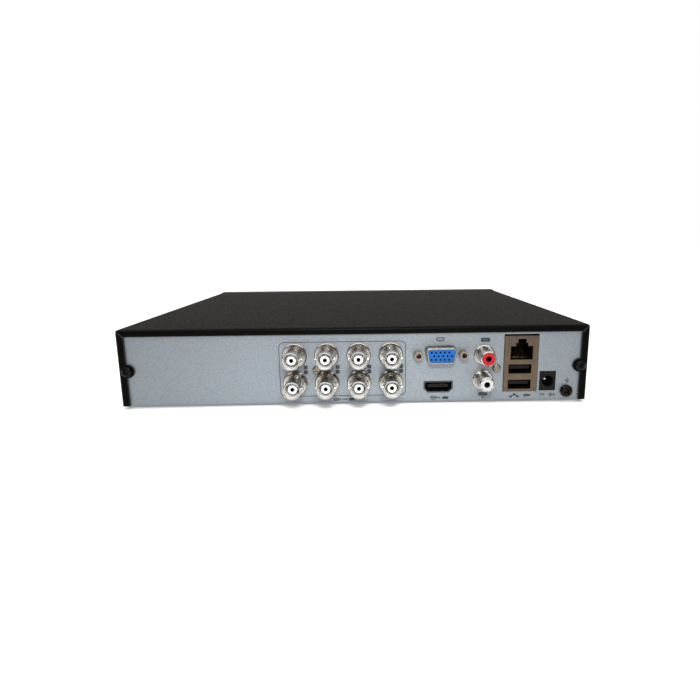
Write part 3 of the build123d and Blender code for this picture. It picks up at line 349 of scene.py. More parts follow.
MATERIALS = {
    "cover_paint": powder_coat(),
    "panel_paint": silver_paint(),
    "bezel_plastic": plastic(
        "bezel_satin", (0.004, 0.004, 0.0044), 0.22, 0.34, 900, 0.000004, Specular_IOR_Level=0.2
    ),
    "smoked_window": plastic("window_smoke", (0.012, 0.002, 0.003), 0.03, 0.07, 200, 0.000001),
    "clear_plastic": plastic("guide_clear", (0.75, 0.80, 0.80), 0.10, 0.2),
    "black_rubber": plastic("foot_rubber", (0.018, 0.018, 0.018), 0.65, 0.85, 500, 0.00003),
    "black_steel": metal("screw_black", (0.014, 0.014, 0.015), 0.25, 0.38),
    "bright_steel": metal("steel_bright", (0.60, 0.57, 0.52), 0.20, 0.34, 400, 0.92, 0.0000006),
    "plain_brass": metal("brass_plain", (0.70, 0.50, 0.20), 0.22, 0.34),
    "green_board": solder_mask(),
    "black_plastic": plastic("moulding_black", (0.010, 0.010, 0.011), 0.35, 0.5),
    "bare_aluminium": metal("aluminium_bare", (0.52, 0.53, 0.54), 0.35, 0.5, 250),
    "nickel": tarnished_nickel(),
    "white_plastic": plastic("moulding_white", (0.86, 0.86, 0.84), 0.25, 0.35),
    "red_plastic": plastic("moulding_red", (0.38, 0.004, 0.012), 0.35, 0.45, Specular_IOR_Level=0.2),
    "blue_plastic": plastic("moulding_blue", (0.002, 0.090, 0.34), 0.4, 0.5, Specular_IOR_Level=0.15),
    "warm_nickel": metal("cage_tin", (0.125, 0.093, 0.066), 0.30, 0.46, 300),
    "mirror_disk": metal("platter_mirror", (0.80, 0.81, 0.83), 0.04, 0.08, 40, 0.96),
    "cable_red": plastic("jacket_red", (0.45, 0.02, 0.02), 0.4, 0.5),
    "cable_black": plastic("jacket_black", (0.016, 0.016, 0.016), 0.4, 0.5),
    "cable_grey": plastic("jacket_grey", (0.30, 0.31, 0.33), 0.4, 0.5),
}
for subpart in frame["record"]["subparts"]:
    finishes = nodes[subpart["node"]].data.materials
    finishes.clear()
    finishes.append(MATERIALS[subpart["material_slot"]])


def piece(name, mesh, slot, body="recorder", material=None, smooth=False):
    """Turns a bmesh into a piece that rides on a body and takes a slot's finish."""
    bmesh.ops.recalc_face_normals(mesh, faces=mesh.faces)
    data = bpy.data.meshes.new(name)
    mesh.to_mesh(data)
    mesh.free()
    made = bpy.data.objects.new(name, data)
    bpy.context.scene.collection.objects.link(made)
    data.materials.append(material or MATERIALS[slot])
    if smooth:
        data.set_sharp_from_angle(angle=math.radians(35))
        data.shade_smooth()
    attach(made, body)
    return made


# ---- Printing on the panel -------------------------------------------------------------------------
# Each print is a film on the panel's face. Its outlines are in millimetres: u is x, and v is the
# height above the chassis's bottom.
PRINT_PLANE = panel_plane(CASE_Z)
FILM = 0.03 * MM
SINK = 0.01 * MM
LINE = 0.36
BOLD = 0.55
HAIR = 0.4
BADGE = 2.3
BADGE_CORNER = 0.6
DIGIT = 1.3 * MM
BOTTOM_ROW = 1.9


def scaled(outline):
    return [(u * MM, v * MM) for u, v in outline]


class Print:
    """Filled shapes and lines of one ink. Shapes get a lift when they lie on another print."""

    def __init__(self, lift=0.0):
        self.mesh = bmesh.new()
        self.low = lift * MM - SINK
        self.high = lift * MM + FILM

    def fill(self, outline):
        prism(self.mesh, PRINT_PLANE, scaled(outline), self.low, self.high)

    def loop(self, outer, inner):
        band(self.mesh, PRINT_PLANE, scaled(outer), scaled(inner), self.low, self.high)

    def line(self, start, end, width=BOLD):
        self.fill(stroke(start, end, width))

    def frame(self, u, v, width, height, corner, thickness=BOLD):
        inner = rectangle(u, v, width - 2 * thickness, height - 2 * thickness, corner - thickness)
        self.loop(rectangle(u, v, width, height, corner), inner)

    def arrow(self, u, v, length, way=1, head=0.9):
        """An arrow centred on (u, v) that points to +u, or to -u if way is -1."""
        tip = u + way * length / 2
        self.line((u - way * length / 2, v), (tip - way * head, v))
        self.fill([(tip, v), (tip - way * head, v + head * 0.62), (tip - way * head, v - head * 0.62)])

    def screen(self, u, v, width, height):
        """A monitor on its stand."""
        self.frame(u, v + 0.25, width, height - 0.5, 0.4)
        self.line((u - width / 4, v - height / 2), (u + width / 4, v - height / 2), 0.3)

    def speaker(self, u, v, size):
        """A loudspeaker with two sound waves."""
        self.fill(rectangle(u - 0.38 * size, v, 0.3 * size, 0.42 * size))
        self.fill([
            (u - 0.24 * size, v - 0.2 * size), (u + 0.08 * size, v - 0.5 * size),
            (u + 0.08 * size, v + 0.5 * size), (u - 0.24 * size, v + 0.2 * size),
        ])
        for reach in (0.28, 0.5):
            spread = 0.6 * reach * size
            self.line((u + reach * size, v - spread), (u + reach * size, v + spread), 0.24)

    def finish(self, name, material):
        return piece(name, self.mesh, "panel_paint", material=material)


INK = plastic("ink_dark", (0.008, 0.009, 0.011), 0.4, 0.55, 1500)
PALE_INK = plastic("ink_pale", (0.055, 0.060, 0.066), 0.4, 0.55, 1500)
VIDEO_INPUTS = [mounts[f"video_in_{number}"] / MM for number in range(1, 9)]


def badge_digit(number, u, v):
    """A closed mesh of one digit, standing on its badge."""
    text = bpy.data.curves.new("digit", "FONT")
    text.body = str(number)
    text.size = DIGIT
    text.extrude = FILM / 2
    text.align_x = "CENTER"
    text.align_y = "CENTER"
    text.resolution_u = 3
    holder = bpy.data.objects.new("digit", text)
    data = bpy.data.meshes.new_from_object(holder)
    data.transform(PRINT_PLANE @ Matrix.Translation((u * MM, v * MM, 1.5 * FILM)))
    bpy.data.objects.remove(holder)
    return data


def video_input_print(ink, digits):
    """A thin frame round the eight inputs, a numbered badge beside each, and a camera with an arrow."""
    left, right = VIDEO_INPUTS[0].x, VIDEO_INPUTS[7].x
    middle_z = (VIDEO_INPUTS[0].z + VIDEO_INPUTS[1].z) / 2 - CASE_Z / MM
    ink.frame((left + right) / 2 - 0.1, middle_z - 0.35, right - left + 17.3, 31.2, 3.0, LINE)
    for number, place in enumerate(VIDEO_INPUTS, start=1):
        u = place.x + 5.8
        v = middle_z + (0.85 if number % 2 else -1.9)
        ink.fill(rectangle(u, v, BADGE, BADGE, BADGE_CORNER))
        digits.from_mesh(badge_digit(number, u, v))
    # A camera, an arrow and a recorder.
    ink.frame(-11.2, BOTTOM_ROW, 3.0, 1.5, 0.4)
    ink.fill([(-9.6, BOTTOM_ROW), (-8.6, BOTTOM_ROW - 0.6), (-8.6, BOTTOM_ROW + 0.6)])
    ink.arrow(-6.2, BOTTOM_ROW, 3.0)
    ink.frame(-2.6, BOTTOM_ROW, 3.0, 1.5, 0.4)
    ink.fill(rectangle(-2.6, BOTTOM_ROW, 1.4, 0.5))


def socket_print(ink, pale):
    """Signs beside the other sockets. Each stands for what plugs in there."""
    # A screen above the analogue display socket, and a screen and a player below the digital one.
    ink.screen(47.0, 35.4, 4.6, 2.4)
    ink.screen(43.6, BOTTOM_ROW, 3.6, 1.9)
    ink.arrow(46.8, BOTTOM_ROW, 2.2)
    ink.frame(50.3, BOTTOM_ROW, 3.4, 1.5, 0.4)
    ink.fill(rectangle(50.3, BOTTOM_ROW, 2.2, 0.6))
    # Sound in, sound out and a loudspeaker.
    ink.fill(rectangle(72.1, 34.9, 5.2, 2.3, BADGE_CORNER))
    pale.arrow(72.1, 34.9, 2.6, head=0.7)
    ink.fill(rectangle(71.6, 3.8, 5.2, 2.0, BADGE_CORNER))
    pale.arrow(71.6, 3.8, 2.6, way=-1, head=0.7)
    ink.speaker(71.6, 1.8, 1.5)
    # A network of three stations, and a data plug.
    for u, v in ((87.4, BOTTOM_ROW), (89.4, 3.3), (91.4, BOTTOM_ROW)):
        ink.fill(rectangle(u, v, 1.5, 1.0))
    ink.line((87.4, 2.6), (91.4, 2.6), HAIR)
    ink.line((89.4, 2.6), (89.4, 3.0), HAIR)
    ink.frame(96.0, 2.6, 2.6, 1.6, 0.4)
    ink.fill(rectangle(95.5, 2.7, 0.4, 0.4))
    ink.fill(rectangle(96.5, 2.7, 0.4, 0.4))
    ink.fill(rectangle(98.0, 2.6, 1.4, 1.0))
    # Direct current, with the plus inside the plug.
    ink.line((103.8, 3.3), (106.6, 3.3), 0.45)
    for step in range(3):
        ink.line((103.8 + step, 2.4), (104.6 + step, 2.4), 0.45)
    ink.loop(circle(110.0, 2.85, 0.95, 20), circle(110.0, 2.85, 0.55, 20))
    ink.fill(circle(110.0, 2.85, 0.35, 12))
    ink.line((111.1, 2.85), (112.7, 2.85), HAIR)
    ink.line((111.9, 2.05), (111.9, 3.65), HAIR)
    # Earth, above the ground screw.
    ink.line((119.1, 12.6), (119.1, 11.2), HAIR)
    for step in range(3):
        reach = 1.5 - 0.5 * step
        ink.line((119.1 - reach, 11.2 - 0.65 * step), (119.1 + reach, 11.2 - 0.65 * step), HAIR)


def panel_printing():
    """Dark prints on the panel, and pale ones on top of the dark badges."""
    ink = Print()
    pale = Print(lift=FILM / MM)
    video_input_print(ink, pale.mesh)
    socket_print(ink, pale)
    bmesh.ops.remove_doubles(pale.mesh, verts=pale.mesh.verts, dist=0.001 * MM)
    ink.finish("panel_print", INK)
    pale.finish("panel_print_pale", PALE_INK)


panel_printing()


# ---- Details inside the sockets -----------------------------------------------------------------
# In PANEL sizes are in millimetres: u is x, v is z and w is how far it stands out of the panel.
PANEL = panel_plane() @ Matrix.Scale(MM, 4)
SOUND_HOLE_RADIUS = 1.64
BAYONET_BORE_RADIUS = 4.05
BAYONET_BORE_FLOOR = 5.05
CONTACT_HOLE_SHADE = ((0.96, -4.9), (0.96, 0), (1.2, 0), (1.2, 0.03), (0.88, 0.03), (0.88, -4.7))
HOLE_PITCH = 2.4
HOLE_ROW_PITCH = 1.98
HOLE_SHADE_SLEEVE = ((0.53, -3.9), (0.53, 0.0), (0.66, 0.0), (0.66, 0.02), (0.47, 0.02), (0.47, -3.6))
NETWORK_WIRE_PITCH = 1.02
DIGITAL_CONTACT_ROWS = ((1, 10), (-1, 9))
# Dark tin on the cage's fingers is painted shade.
TIN_PAINTED_SHADE = metal("tin_painted_shade", (0.10, 0.095, 0.088), 0.30, 0.45, 500)
GOLD = metal("contact_gold", (0.42, 0.29, 0.11), 0.25, 0.38, 600)
# SHADE is painted shade: black put inside holes, sockets and grooves, where there is only shade.
SHADE = plastic("painted_shade_black", (0.004, 0.004, 0.004), 0.5, 0.65)
ZINC = metal("screw_zinc", (0.24, 0.205, 0.165), 0.22, 0.36, 500)
SHELL_TIN = metal("shell_tin", (0.10, 0.095, 0.09), 0.30, 0.45, 500)
SHELL_STEEL = metal("shell_steel", (0.26, 0.24, 0.21), 0.26, 0.38, 400, 0.9, 0.000001)
DEEP_BLACK = plastic("moulding_deep", (0.003, 0.003, 0.0032), 0.4, 0.55, Specular_IOR_Level=0.15)
LID_STEEL = metal("lid_steel", (0.36, 0.36, 0.36), 0.34, 0.42, 120, 0.94, 0.0000003)
CORE_WHITE = plastic("core_white", (0.44, 0.45, 0.45), 0.25, 0.35)

# Finishes that differ from those of the nodes' slots.
for finish, finished in (
    (ZINC, ("vga_jackscrews", "connector_screws")),
    (SHELL_TIN, ("digital_shell",)),
    (SHELL_STEEL, ("vga_shell",)),
    (DEEP_BLACK, ("usb_tongues", "socket_insert", "digital_insert", "power_body")),
    (LID_STEEL, ("disk_lid",)),
    (CORE_WHITE, ("rca_core_lower",)),
):
    for node in finished:
        nodes[node].data.materials[0] = finish


def middle(node):
    """The centre of a node's box in millimetres."""
    return corners(node)[2] / MM


def standing_out(node):
    """How far a node stands out of the panel, in millimetres."""
    return (PANEL_Y - corners(node)[0].y) / MM


def sound_linings():
    """A thin black cup lines the hole of each sound socket: painted shade for the dark inside of the
    hole.
    """
    mesh = bmesh.new()
    for node in ("rca_core_upper", "rca_core_lower"):
        centre = middle(node)
        wall, bore, mouth = SOUND_HOLE_RADIUS, SOUND_HOLE_RADIUS - 0.14, standing_out(node)
        cup = [(wall, mouth - 9.9), (wall, mouth - 0.1), (bore, mouth - 0.15), (bore, mouth - 9.6)]
        turned(mesh, PANEL, centre.x, centre.z, cup)
    piece("sound_linings", mesh, "black_plastic", material=SHADE, smooth=True)


def video_linings():
    """A satin tube lines each video socket's bore, paler than the nickel as painted light on the bore's
    wall, and a black cup of painted shade lines its contact's hole.
    """
    mesh = bmesh.new()
    mouth = standing_out("bnc_shell_1")
    for place in VIDEO_INPUTS:
        outer = circle(place.x, place.z, BAYONET_BORE_RADIUS - 0.01, 48)
        inner = circle(place.x, place.z, BAYONET_BORE_RADIUS - 0.08, 48)
        band(mesh, PANEL, outer, inner, BAYONET_BORE_FLOOR, mouth - 0.6)
    # The tube's pale colour is painted light in the bore.
    paint = Paint("bore_satin_painted_light", (0.75, 0.75, 0.74), 0.42, 0.3)
    paint.two_tone((0.68, 0.68, 0.67), (0.80, 0.80, 0.79), 500, 3).gloss(0.36, 0.48, 900)
    piece("video_linings", mesh, "nickel", material=paint.material, smooth=True)
    # Black cups in the contacts' holes are painted shade.
    cups = bmesh.new()
    face = standing_out("bnc_insulators")
    for place in VIDEO_INPUTS:
        turned(cups, PANEL, place.x, place.z, [(radius, face + depth) for radius, depth in CONTACT_HOLE_SHADE])
    piece("contact_hole_shade", cups, "black_plastic", material=SHADE, smooth=True)


def display_contacts():
    """Fifteen dark sleeves fill the holes of the analogue display socket: painted shade for the dark
    inside of each hole.
    """
    mesh = bmesh.new()
    centre = mounts["video_out_15way"] / MM
    face = standing_out("vga_insert")
    sleeve = [(radius, face + depth) for radius, depth in HOLE_SHADE_SLEEVE]
    for row in (-1, 0, 1):
        shift = HOLE_PITCH * (0.3 if row == 0 else -0.3)
        for column in range(-2, 3):
            u = centre.x + shift + column * HOLE_PITCH
            v = centre.z + row * HOLE_ROW_PITCH
            turned(mesh, PANEL, u, v, sleeve, 16)
    piece("display_contacts", mesh, "black_plastic", material=SHADE, smooth=True)


def network_contacts():
    """Eight sprung wires slope up from the floor of the network socket."""
    mesh = bmesh.new()
    centre = mounts["network_socket"] / MM
    floor_z = centre.z - 3.85
    slope = ((0.35, -3.2), (0.75, -3.6), (3.3, -10.5), (3.5, -13.5))
    path = [(floor_z + rise, depth) for rise, depth in slope]
    for wire in range(8):
        place = PANEL @ Matrix.Translation((centre.x + (wire - 3.5) * NETWORK_WIRE_PITCH, 0, 0))
        ribbon(mesh, place, path, 0.45, 0.28)
    piece("network_contacts", mesh, "plain_brass", material=GOLD)


def bus_contacts():
    """Four flat contacts lie under the tongue of each serial bus socket."""
    mesh = bmesh.new()
    low, high, centre = corners("usb_tongues")
    for tongue_bottom in (low.z / MM, high.z / MM - 1.8):
        for step in (-3.5, -1.0, 1.0, 3.5):
            block(mesh, PANEL, centre.x / MM + step, tongue_bottom - 0.06, 1.1, 0.2, -11.5, -2.2)
    piece("bus_contacts", mesh, "plain_brass", material=GOLD)


def digital_contacts():
    """Nineteen contacts on the tongue's two faces, and sprung tabs pressed in from the metal shell."""
    mesh = bmesh.new()
    centre = middle("digital_insert")
    tongue_z = centre.z + 0.3
    for side, count in DIGITAL_CONTACT_ROWS:
        for contact in range(count):
            u = centre.x + contact - (count - 1) / 2
            block(mesh, PANEL, u, tongue_z + side * 0.88, 0.5, 0.14, -8.0, -1.6)
    piece("digital_contacts", mesh, "plain_brass", material=GOLD)
    tabs = bmesh.new()
    bottom = corners("digital_shell")[0].z / MM + 0.42
    top = corners("digital_shell")[1].z / MM - 0.42
    for u in (-2.3, 2.3):
        for wall, way in ((bottom, 1), (top, -1)):
            path = [(wall, -0.6), (wall + way * 0.12, -1.0), (wall + way * 0.55, -3.0), (wall, -5.5)]
            ribbon(tabs, PANEL @ Matrix.Translation((centre.x + u, 0, 0)), path, 1.5, 0.14)
    piece("digital_springs", tabs, "nickel")


def power_spring():
    """The sprung side contact of the power inlet, left of its pin."""
    mesh = bmesh.new()
    centre = middle("power_pin")
    turn = Matrix.Rotation(math.radians(90), 4, "Z")
    place = PANEL @ Matrix.Translation((centre.x, centre.z, 0)) @ turn
    path = [(3.0, -0.9), (2.45, -1.8), (1.95, -4.5), (2.9, -8.5)]
    ribbon(mesh, place, path, 1.7, 0.3)
    piece("power_spring", mesh, "bright_steel")


def cage_fingers():
    """A dark strip of sprung fingers earths the cage against the panel's cut-out; its dark colour is
    painted shade, for the shadow along the top of the cut-out.
    """
    mesh = bmesh.new()
    low, high, centre = (part / MM for part in corners("lan_usb_cage"))
    proud = standing_out("lan_usb_cage")
    width = high.x - low.x + 0.3
    block(mesh, PANEL, centre.x, high.z - 0.28, width, 0.55, proud - 0.4, proud + 0.15, 0.1)
    for u in (low.x + 0.9, centre.x - 3.2, centre.x + 3.2, high.x - 0.9):
        block(mesh, PANEL, u, high.z - 0.5, 1.2, 0.9, proud - 0.3, proud + 0.28, 0.12)
    piece("cage_fingers", mesh, "black_steel", material=TIN_PAINTED_SHADE)


sound_linings()
video_linings()
display_contacts()
network_contacts()
bus_contacts()
digital_contacts()
power_spring()
cage_fingers()


# ---- Details on the main board -------------------------------------------------------------------
# In BOARD sizes are in millimetres: u is x, v is y and w is the height above the board.
BOARD = level_plane(BOARD_TOP) @ Matrix.Scale(MM, 4)
BODY_BLACK = plastic("chip_epoxy", (0.016, 0.016, 0.017), 0.45, 0.6, 900)
CERAMIC = plastic("capacitor_ceramic", (0.32, 0.22, 0.13), 0.4, 0.55, 900)
SOLDER = metal("solder_tin", (0.58, 0.58, 0.57), 0.25, 0.4, 900)
SILK = plastic("silkscreen_white", (0.62, 0.64, 0.62), 0.5, 0.65, 900)
SLEEVE = plastic("sleeve_film", (0.022, 0.024, 0.034), 0.25, 0.4, 500)

# Chips that stand in the CAD, as (u, v, width along u, width along v, height).
PROCESSOR = (56, 0, 23, 23, 2.0)
MEMORY = [(x, 38, 9, 13, 1.2) for x in (29, 47, 65, 83)]
FLAT_PACKS = [(4, -50, 14, 14, 1.2), (28, -50, 14, 14, 1.2), (92, -50, 10, 10, 1.2)]
CAPACITORS = [(108, -62), (108, -50), (108, -38), (96, -34), (20, 52), (20, 40)]
# Parts that only this file adds.
SMALL_CHIPS = [
    (60, -42), (72, -42), (16, -66), (-6, -66), (44, -66), (104, -12), (84, -14), (14, 14), (14, -2),
]
INDUCTORS = [(78, -60), (66, -60), (96, -8)]
CRYSTALS = [(46, -48), (16, -32), (88, -30)]
TRANSFORMER = (92, -65.5, 16, 11, 5.6)
# What small parts keep clear of, as (u, v, width along u, width along v).
TAKEN = (
    [(56, 0, 42, 42), (96, 20, 34, 26), (108, 44, 14, 14)]
    + [(6, 34, 12, 16), (6, 52, 14, 16), (60, 54, 17, 8)]
    + [(u, v, wide + 4, deep + 4) for u, v, wide, deep, _ in [*MEMORY, *FLAT_PACKS, TRANSFORMER]]
    + [(u, v, 10, 10) for u, v in CAPACITORS]
    + [(u, v, 9, 9) for u, v in ((-8, 54), (118, 54), (118, -18), (-8, -18))]
    + [(u, v, 8, 8) for u, v in SMALL_CHIPS]
    + [(u, v, 9, 9) for u, v in INDUCTORS]
    + [(u, v, 13.5, 7) for u, v in CRYSTALS]
)


def clear_of_parts(u, v):
    return all(abs(u - x) > wide / 2 + 1 or abs(v - y) > deep / 2 + 1 for x, y, wide, deep in TAKEN)


def chip_legs():
    """Bent legs along all sides of the flat packs, and two sides of the small chips."""
    mesh = bmesh.new()
    path = [(0.0, 0.7), (0.5, 0.65), (0.75, 0.1), (1.5, 0.08)]
    for u, v, wide, _, _ in FLAT_PACKS:
        for quarter in range(4):
            side = Matrix.Translation((u, v, 0)) @ Matrix.Rotation(math.pi / 2 * quarter, 4, "Z")
            count = int((wide - 1) / 0.8)
            for leg in range(count):
                shift = Matrix.Translation(((leg - (count - 1) / 2) * 0.8, wide / 2, 0))
                ribbon(mesh, BOARD @ side @ shift, path, 0.35, 0.15)
    for u, v in SMALL_CHIPS:
        for turn in (0, math.pi):
            side = Matrix.Translation((u, v, 0)) @ Matrix.Rotation(turn, 4, "Z")
            for leg in range(4):
                shift = Matrix.Translation(((leg - 1.5) * 1.27, 1.95, 0))
                ribbon(mesh, BOARD @ side @ shift, path, 0.4, 0.2)
    piece("chip_legs", mesh, "bright_steel", material=SOLDER)


def small_chips():
    """Black chip bodies and the network transformer, and the dot that marks each chip's first leg."""
    mesh = bmesh.new()
    for u, v in SMALL_CHIPS:
        block(mesh, BOARD, u, v, 5.0, 4.0, 0.1, 1.5, 0.25)
    u, v, wide, deep, height = TRANSFORMER
    block(mesh, BOARD, u, v, wide, deep, 0.1, height, 0.5, 0.6)
    piece("small_chips", mesh, "black_plastic", material=BODY_BLACK)
    marks = bmesh.new()
    for u, v, wide, deep, height in [*MEMORY, *FLAT_PACKS]:
        dot = circle(u - wide / 2 + 1.4, v - deep / 2 + 1.4, 0.45, 16)
        prism(marks, BOARD, dot, height, height + 0.02)
    for u, v in SMALL_CHIPS:
        prism(marks, BOARD, circle(u - 1.8, v - 1.3, 0.3, 16), 1.5, 1.52)
    piece("chip_marks", marks, "black_plastic", material=PALE_INK)


def transformer_pins():
    """Twelve bent pins along each long side of the network transformer."""
    mesh = bmesh.new()
    u, v, wide, deep, _ = TRANSFORMER
    path = [(0.0, 1.4), (0.5, 1.3), (0.8, 0.1), (1.5, 0.08)]
    for turn in (0, math.pi):
        side = Matrix.Translation((u, v, 0)) @ Matrix.Rotation(turn, 4, "Z")
        for pin in range(12):
            shift = Matrix.Translation(((pin - 5.5) * 1.2, deep / 2, 0))
            ribbon(mesh, BOARD @ side @ shift, path, 0.4, 0.22)
    piece("transformer_pins", mesh, "bright_steel", material=SOLDER)


def inductors_and_crystals():
    """Square ferrite inductors with a round crown, and metal crystal cans on their flanges."""
    coils = bmesh.new()
    for u, v in INDUCTORS:
        block(coils, BOARD, u, v, 7.0, 7.0, 0.15, 3.6, 0.4, 1.3)
        turned(coils, BOARD, u, v, [(2.6, 3.55), (2.6, 3.75), (2.3, 3.85)])
    ferrite = plastic("ferrite_grey", (0.06, 0.06, 0.062), 0.5, 0.7)
    piece("inductors", coils, "bright_steel", material=ferrite)
    cans = bmesh.new()
    for u, v in CRYSTALS:
        block(cans, BOARD, u, v, 11.4, 4.7, 0.05, 0.6, 0.1, 2.2)
        block(cans, BOARD, u, v, 10.4, 3.8, 0.55, 3.5, 0.35, 1.85)
    piece("crystals", cans, "bright_steel", smooth=True)


def small_parts():
    """Resistors and ceramic capacitors in loose rows wherever the board is free."""
    random.seed(41)
    rows, columns = 48, 53
    filled_share, across_share, ceramic_share = 0.36, 0.4, 0.5
    resistors, ceramics, ends = bmesh.new(), bmesh.new(), bmesh.new()
    for row in range(rows):
        for column in range(columns):
            u = -13.5 + 2.6 * column
            v = -70.5 + 2.7 * row
            if random.random() > filled_share or not clear_of_parts(u, v):
                continue
            across = random.random() < across_share
            wide, deep = (0.8, 1.6) if across else (1.6, 0.8)
            is_ceramic = random.random() < ceramic_share
            height = 0.8 if is_ceramic else 0.45
            kind = ceramics if is_ceramic else resistors
            block(kind, BOARD, u, v, wide * 0.96, deep * 0.96, 0.05, height)
            for way in (-1, 1):
                du, dv = (0, way * 0.68) if across else (way * 0.68, 0)
                cap_wide, cap_deep = (0.82, 0.36) if across else (0.36, 0.82)
                block(ends, BOARD, u + du, v + dv, cap_wide, cap_deep, 0.02, height + 0.03)
    piece("small_resistors", resistors, "black_plastic", material=BODY_BLACK)
    piece("small_ceramics", ceramics, "black_plastic", material=CERAMIC)
    piece("small_ends", ends, "bright_steel", material=SOLDER)


def silkscreen():
    """White outlines round the larger parts."""
    mesh = bmesh.new()
    for u, v, wide, deep, _ in [*MEMORY, *FLAT_PACKS, TRANSFORMER, (*PROCESSOR[:2], 42, 42, 0)]:
        grow = 4.0 if wide in (10, 14) else 1.6
        outer = rectangle(u, v, wide + grow, deep + grow)
        band(mesh, BOARD, outer, rectangle(u, v, wide + grow - 0.5, deep + grow - 0.5), -0.01, 0.02)
    for u, v in CAPACITORS:
        band(mesh, BOARD, circle(u, v, 4.9, 32), circle(u, v, 4.65, 32), -0.01, 0.02)
    for u, v in SMALL_CHIPS:
        band(mesh, BOARD, rectangle(u, v, 6.4, 8.0), rectangle(u, v, 6.1, 7.7), -0.01, 0.02)
    piece("board_silkscreen", mesh, "green_board", material=SILK)


def capacitor_sleeves():
    """A dark shrunk sleeve with a pale stripe on each can, and the cross pressed into its top, drawn as
    black lines of painted shade.
    """
    sleeves, stripes, crosses = bmesh.new(), bmesh.new(), bmesh.new()
    for u, v in CAPACITORS:
        walls = ((4.06, 0.4), (4.06, 10.95), (3.45, 11.58), (3.3, 11.5), (3.9, 10.8), (3.9, 0.4))
        ring(sleeves, BOARD, [(circle(u, v, radius, 40), height) for radius, height in walls])
        arc = [math.radians(60 + 6 * step) for step in range(11)]
        outline = [(u + 4.09 * math.cos(turn), v + 4.09 * math.sin(turn)) for turn in arc]
        outline += [(u + 3.95 * math.cos(turn), v + 3.95 * math.sin(turn)) for turn in reversed(arc)]
        prism(stripes, BOARD, outline, 0.6, 10.8)
        for turn in (0.6, 0.6 + math.pi / 2):
            run = (2.6 * math.cos(turn), 2.6 * math.sin(turn))
            line = stroke((u - run[0], v - run[1]), (u + run[0], v + run[1]), 0.22)
            prism(crosses, BOARD, line, 11.45, 11.52)
    piece("capacitor_sleeves", sleeves, "black_plastic", material=SLEEVE, smooth=True)
    piece("capacitor_stripes", stripes, "white_plastic", material=SILK)
    piece("capacitor_cross_shade", crosses, "black_plastic", material=SHADE)


def cell_clip():
    """The sprung clip that holds the coin cell down."""
    mesh = bmesh.new()
    cell = middle("coin_cell")
    top = corners("coin_cell")[1].z / MM - BOARD_TOP / MM
    place = BOARD @ Matrix.Translation((cell.x, cell.y, 0)) @ Matrix.Rotation(-math.pi / 2, 4, "Z")
    over_cell = [(10.5, top + 1.0), (4.0, top + 0.12), (2.6, top + 0.4)]
    ribbon(mesh, place, [(13.2, 0.2), (13.2, top + 0.9), *over_cell], 4.4, 0.3)
    piece("cell_clip", mesh, "bright_steel")


# ---- Details on the disk, the front and the underside --------------------------------------------


def disk_trim():
    """A label with rules and an empty square on the lid, and the lid's screws, whose sockets are black
    squares of painted shade.
    """
    low, high, centre = (part / MM for part in corners("disk_lid"))
    lid = level_plane(high.z * MM) @ Matrix.Scale(MM, 4)
    label, bands, screws, sockets = bmesh.new(), bmesh.new(), bmesh.new(), bmesh.new()
    label_v = corners("head_arm")[2].y / MM + 8
    prism(label, lid, rectangle(centre.x, label_v, 64, 40, 2.5), -0.02, 0.06)
    film = (0.05, 0.09)
    prism(bands, lid, rectangle(centre.x, label_v + 14, 60, 7, 1.0), *film)
    for line in range(4):
        prism(bands, lid, rectangle(centre.x - 12, label_v + 5 - 5 * line, 34, 0.35), *film)
    square = (centre.x + 19, label_v - 4)
    band(bands, lid, rectangle(*square, 16, 16, 1), rectangle(*square, 15, 15, 0.7), *film)
    for u in (low.x + 4.2, high.x - 4.2):
        for v in (low.y + 4.2, centre.y, high.y - 4.2):
            place = lid @ Matrix.Translation((u, v, -0.45))
            turned(screws, place, 0, 0, [(2.3, 0), (2.3, 0.25), (2.0, 0.42)], 32)
            # Black squares in the screw heads are painted shade for their sockets.
            prism(sockets, place, rectangle(0, 0, 1.7, 1.7, 0.5), 0.40, 0.43)
    paper = plastic("label_paper", (0.66, 0.67, 0.66), 0.45, 0.6, 900)
    blue_print = plastic("label_print", (0.10, 0.16, 0.24), 0.45, 0.6)
    piece("disk_label", label, "white_plastic", material=paper)
    piece("disk_label_bands", bands, "white_plastic", material=blue_print)
    piece("disk_lid_screws", screws, "bright_steel", smooth=True)
    piece("disk_screw_socket_shade", sockets, "black_plastic", material=SHADE)


def front_signs():
    """Small pale signs on the window for the three lamps: power, disk and network."""
    face = plane((0, cad_high.y, 0), (-1, 0, 0), (0, 1, 0)) @ Matrix.Scale(MM, 4)
    low, high, _ = (part / MM for part in corners("light_guides"))
    v = low.z - 2.2
    power, disk, network = -low.x - 1.2, -(low.x + high.x) / 2, -high.x + 1.2
    mesh = bmesh.new()
    film = (-0.03, 0.001)
    for start, end in (((network - 0.9, v), (network + 0.9, v)), ((network, v), (network, v + 0.7))):
        prism(mesh, face, stroke(start, end, 0.2), *film)
    for du, dv in ((-0.9, -0.5), (0.9, -0.5), (0, 0.9)):
        prism(mesh, face, rectangle(network + du, v + dv, 0.8, 0.6), *film)
    band(mesh, face, circle(disk, v, 1.1), circle(disk, v, 0.9), *film)
    prism(mesh, face, circle(disk, v, 0.35, 16), *film)
    band(mesh, face, circle(power, v, 1.0), circle(power, v, 0.8), *film)
    prism(mesh, face, stroke((power, v + 0.2), (power, v + 1.4), 0.25), *film)
    pale = plastic("sign_ink", (0.42, 0.43, 0.44), 0.4, 0.5)
    piece("front_signs", mesh, "smoked_window", material=pale)


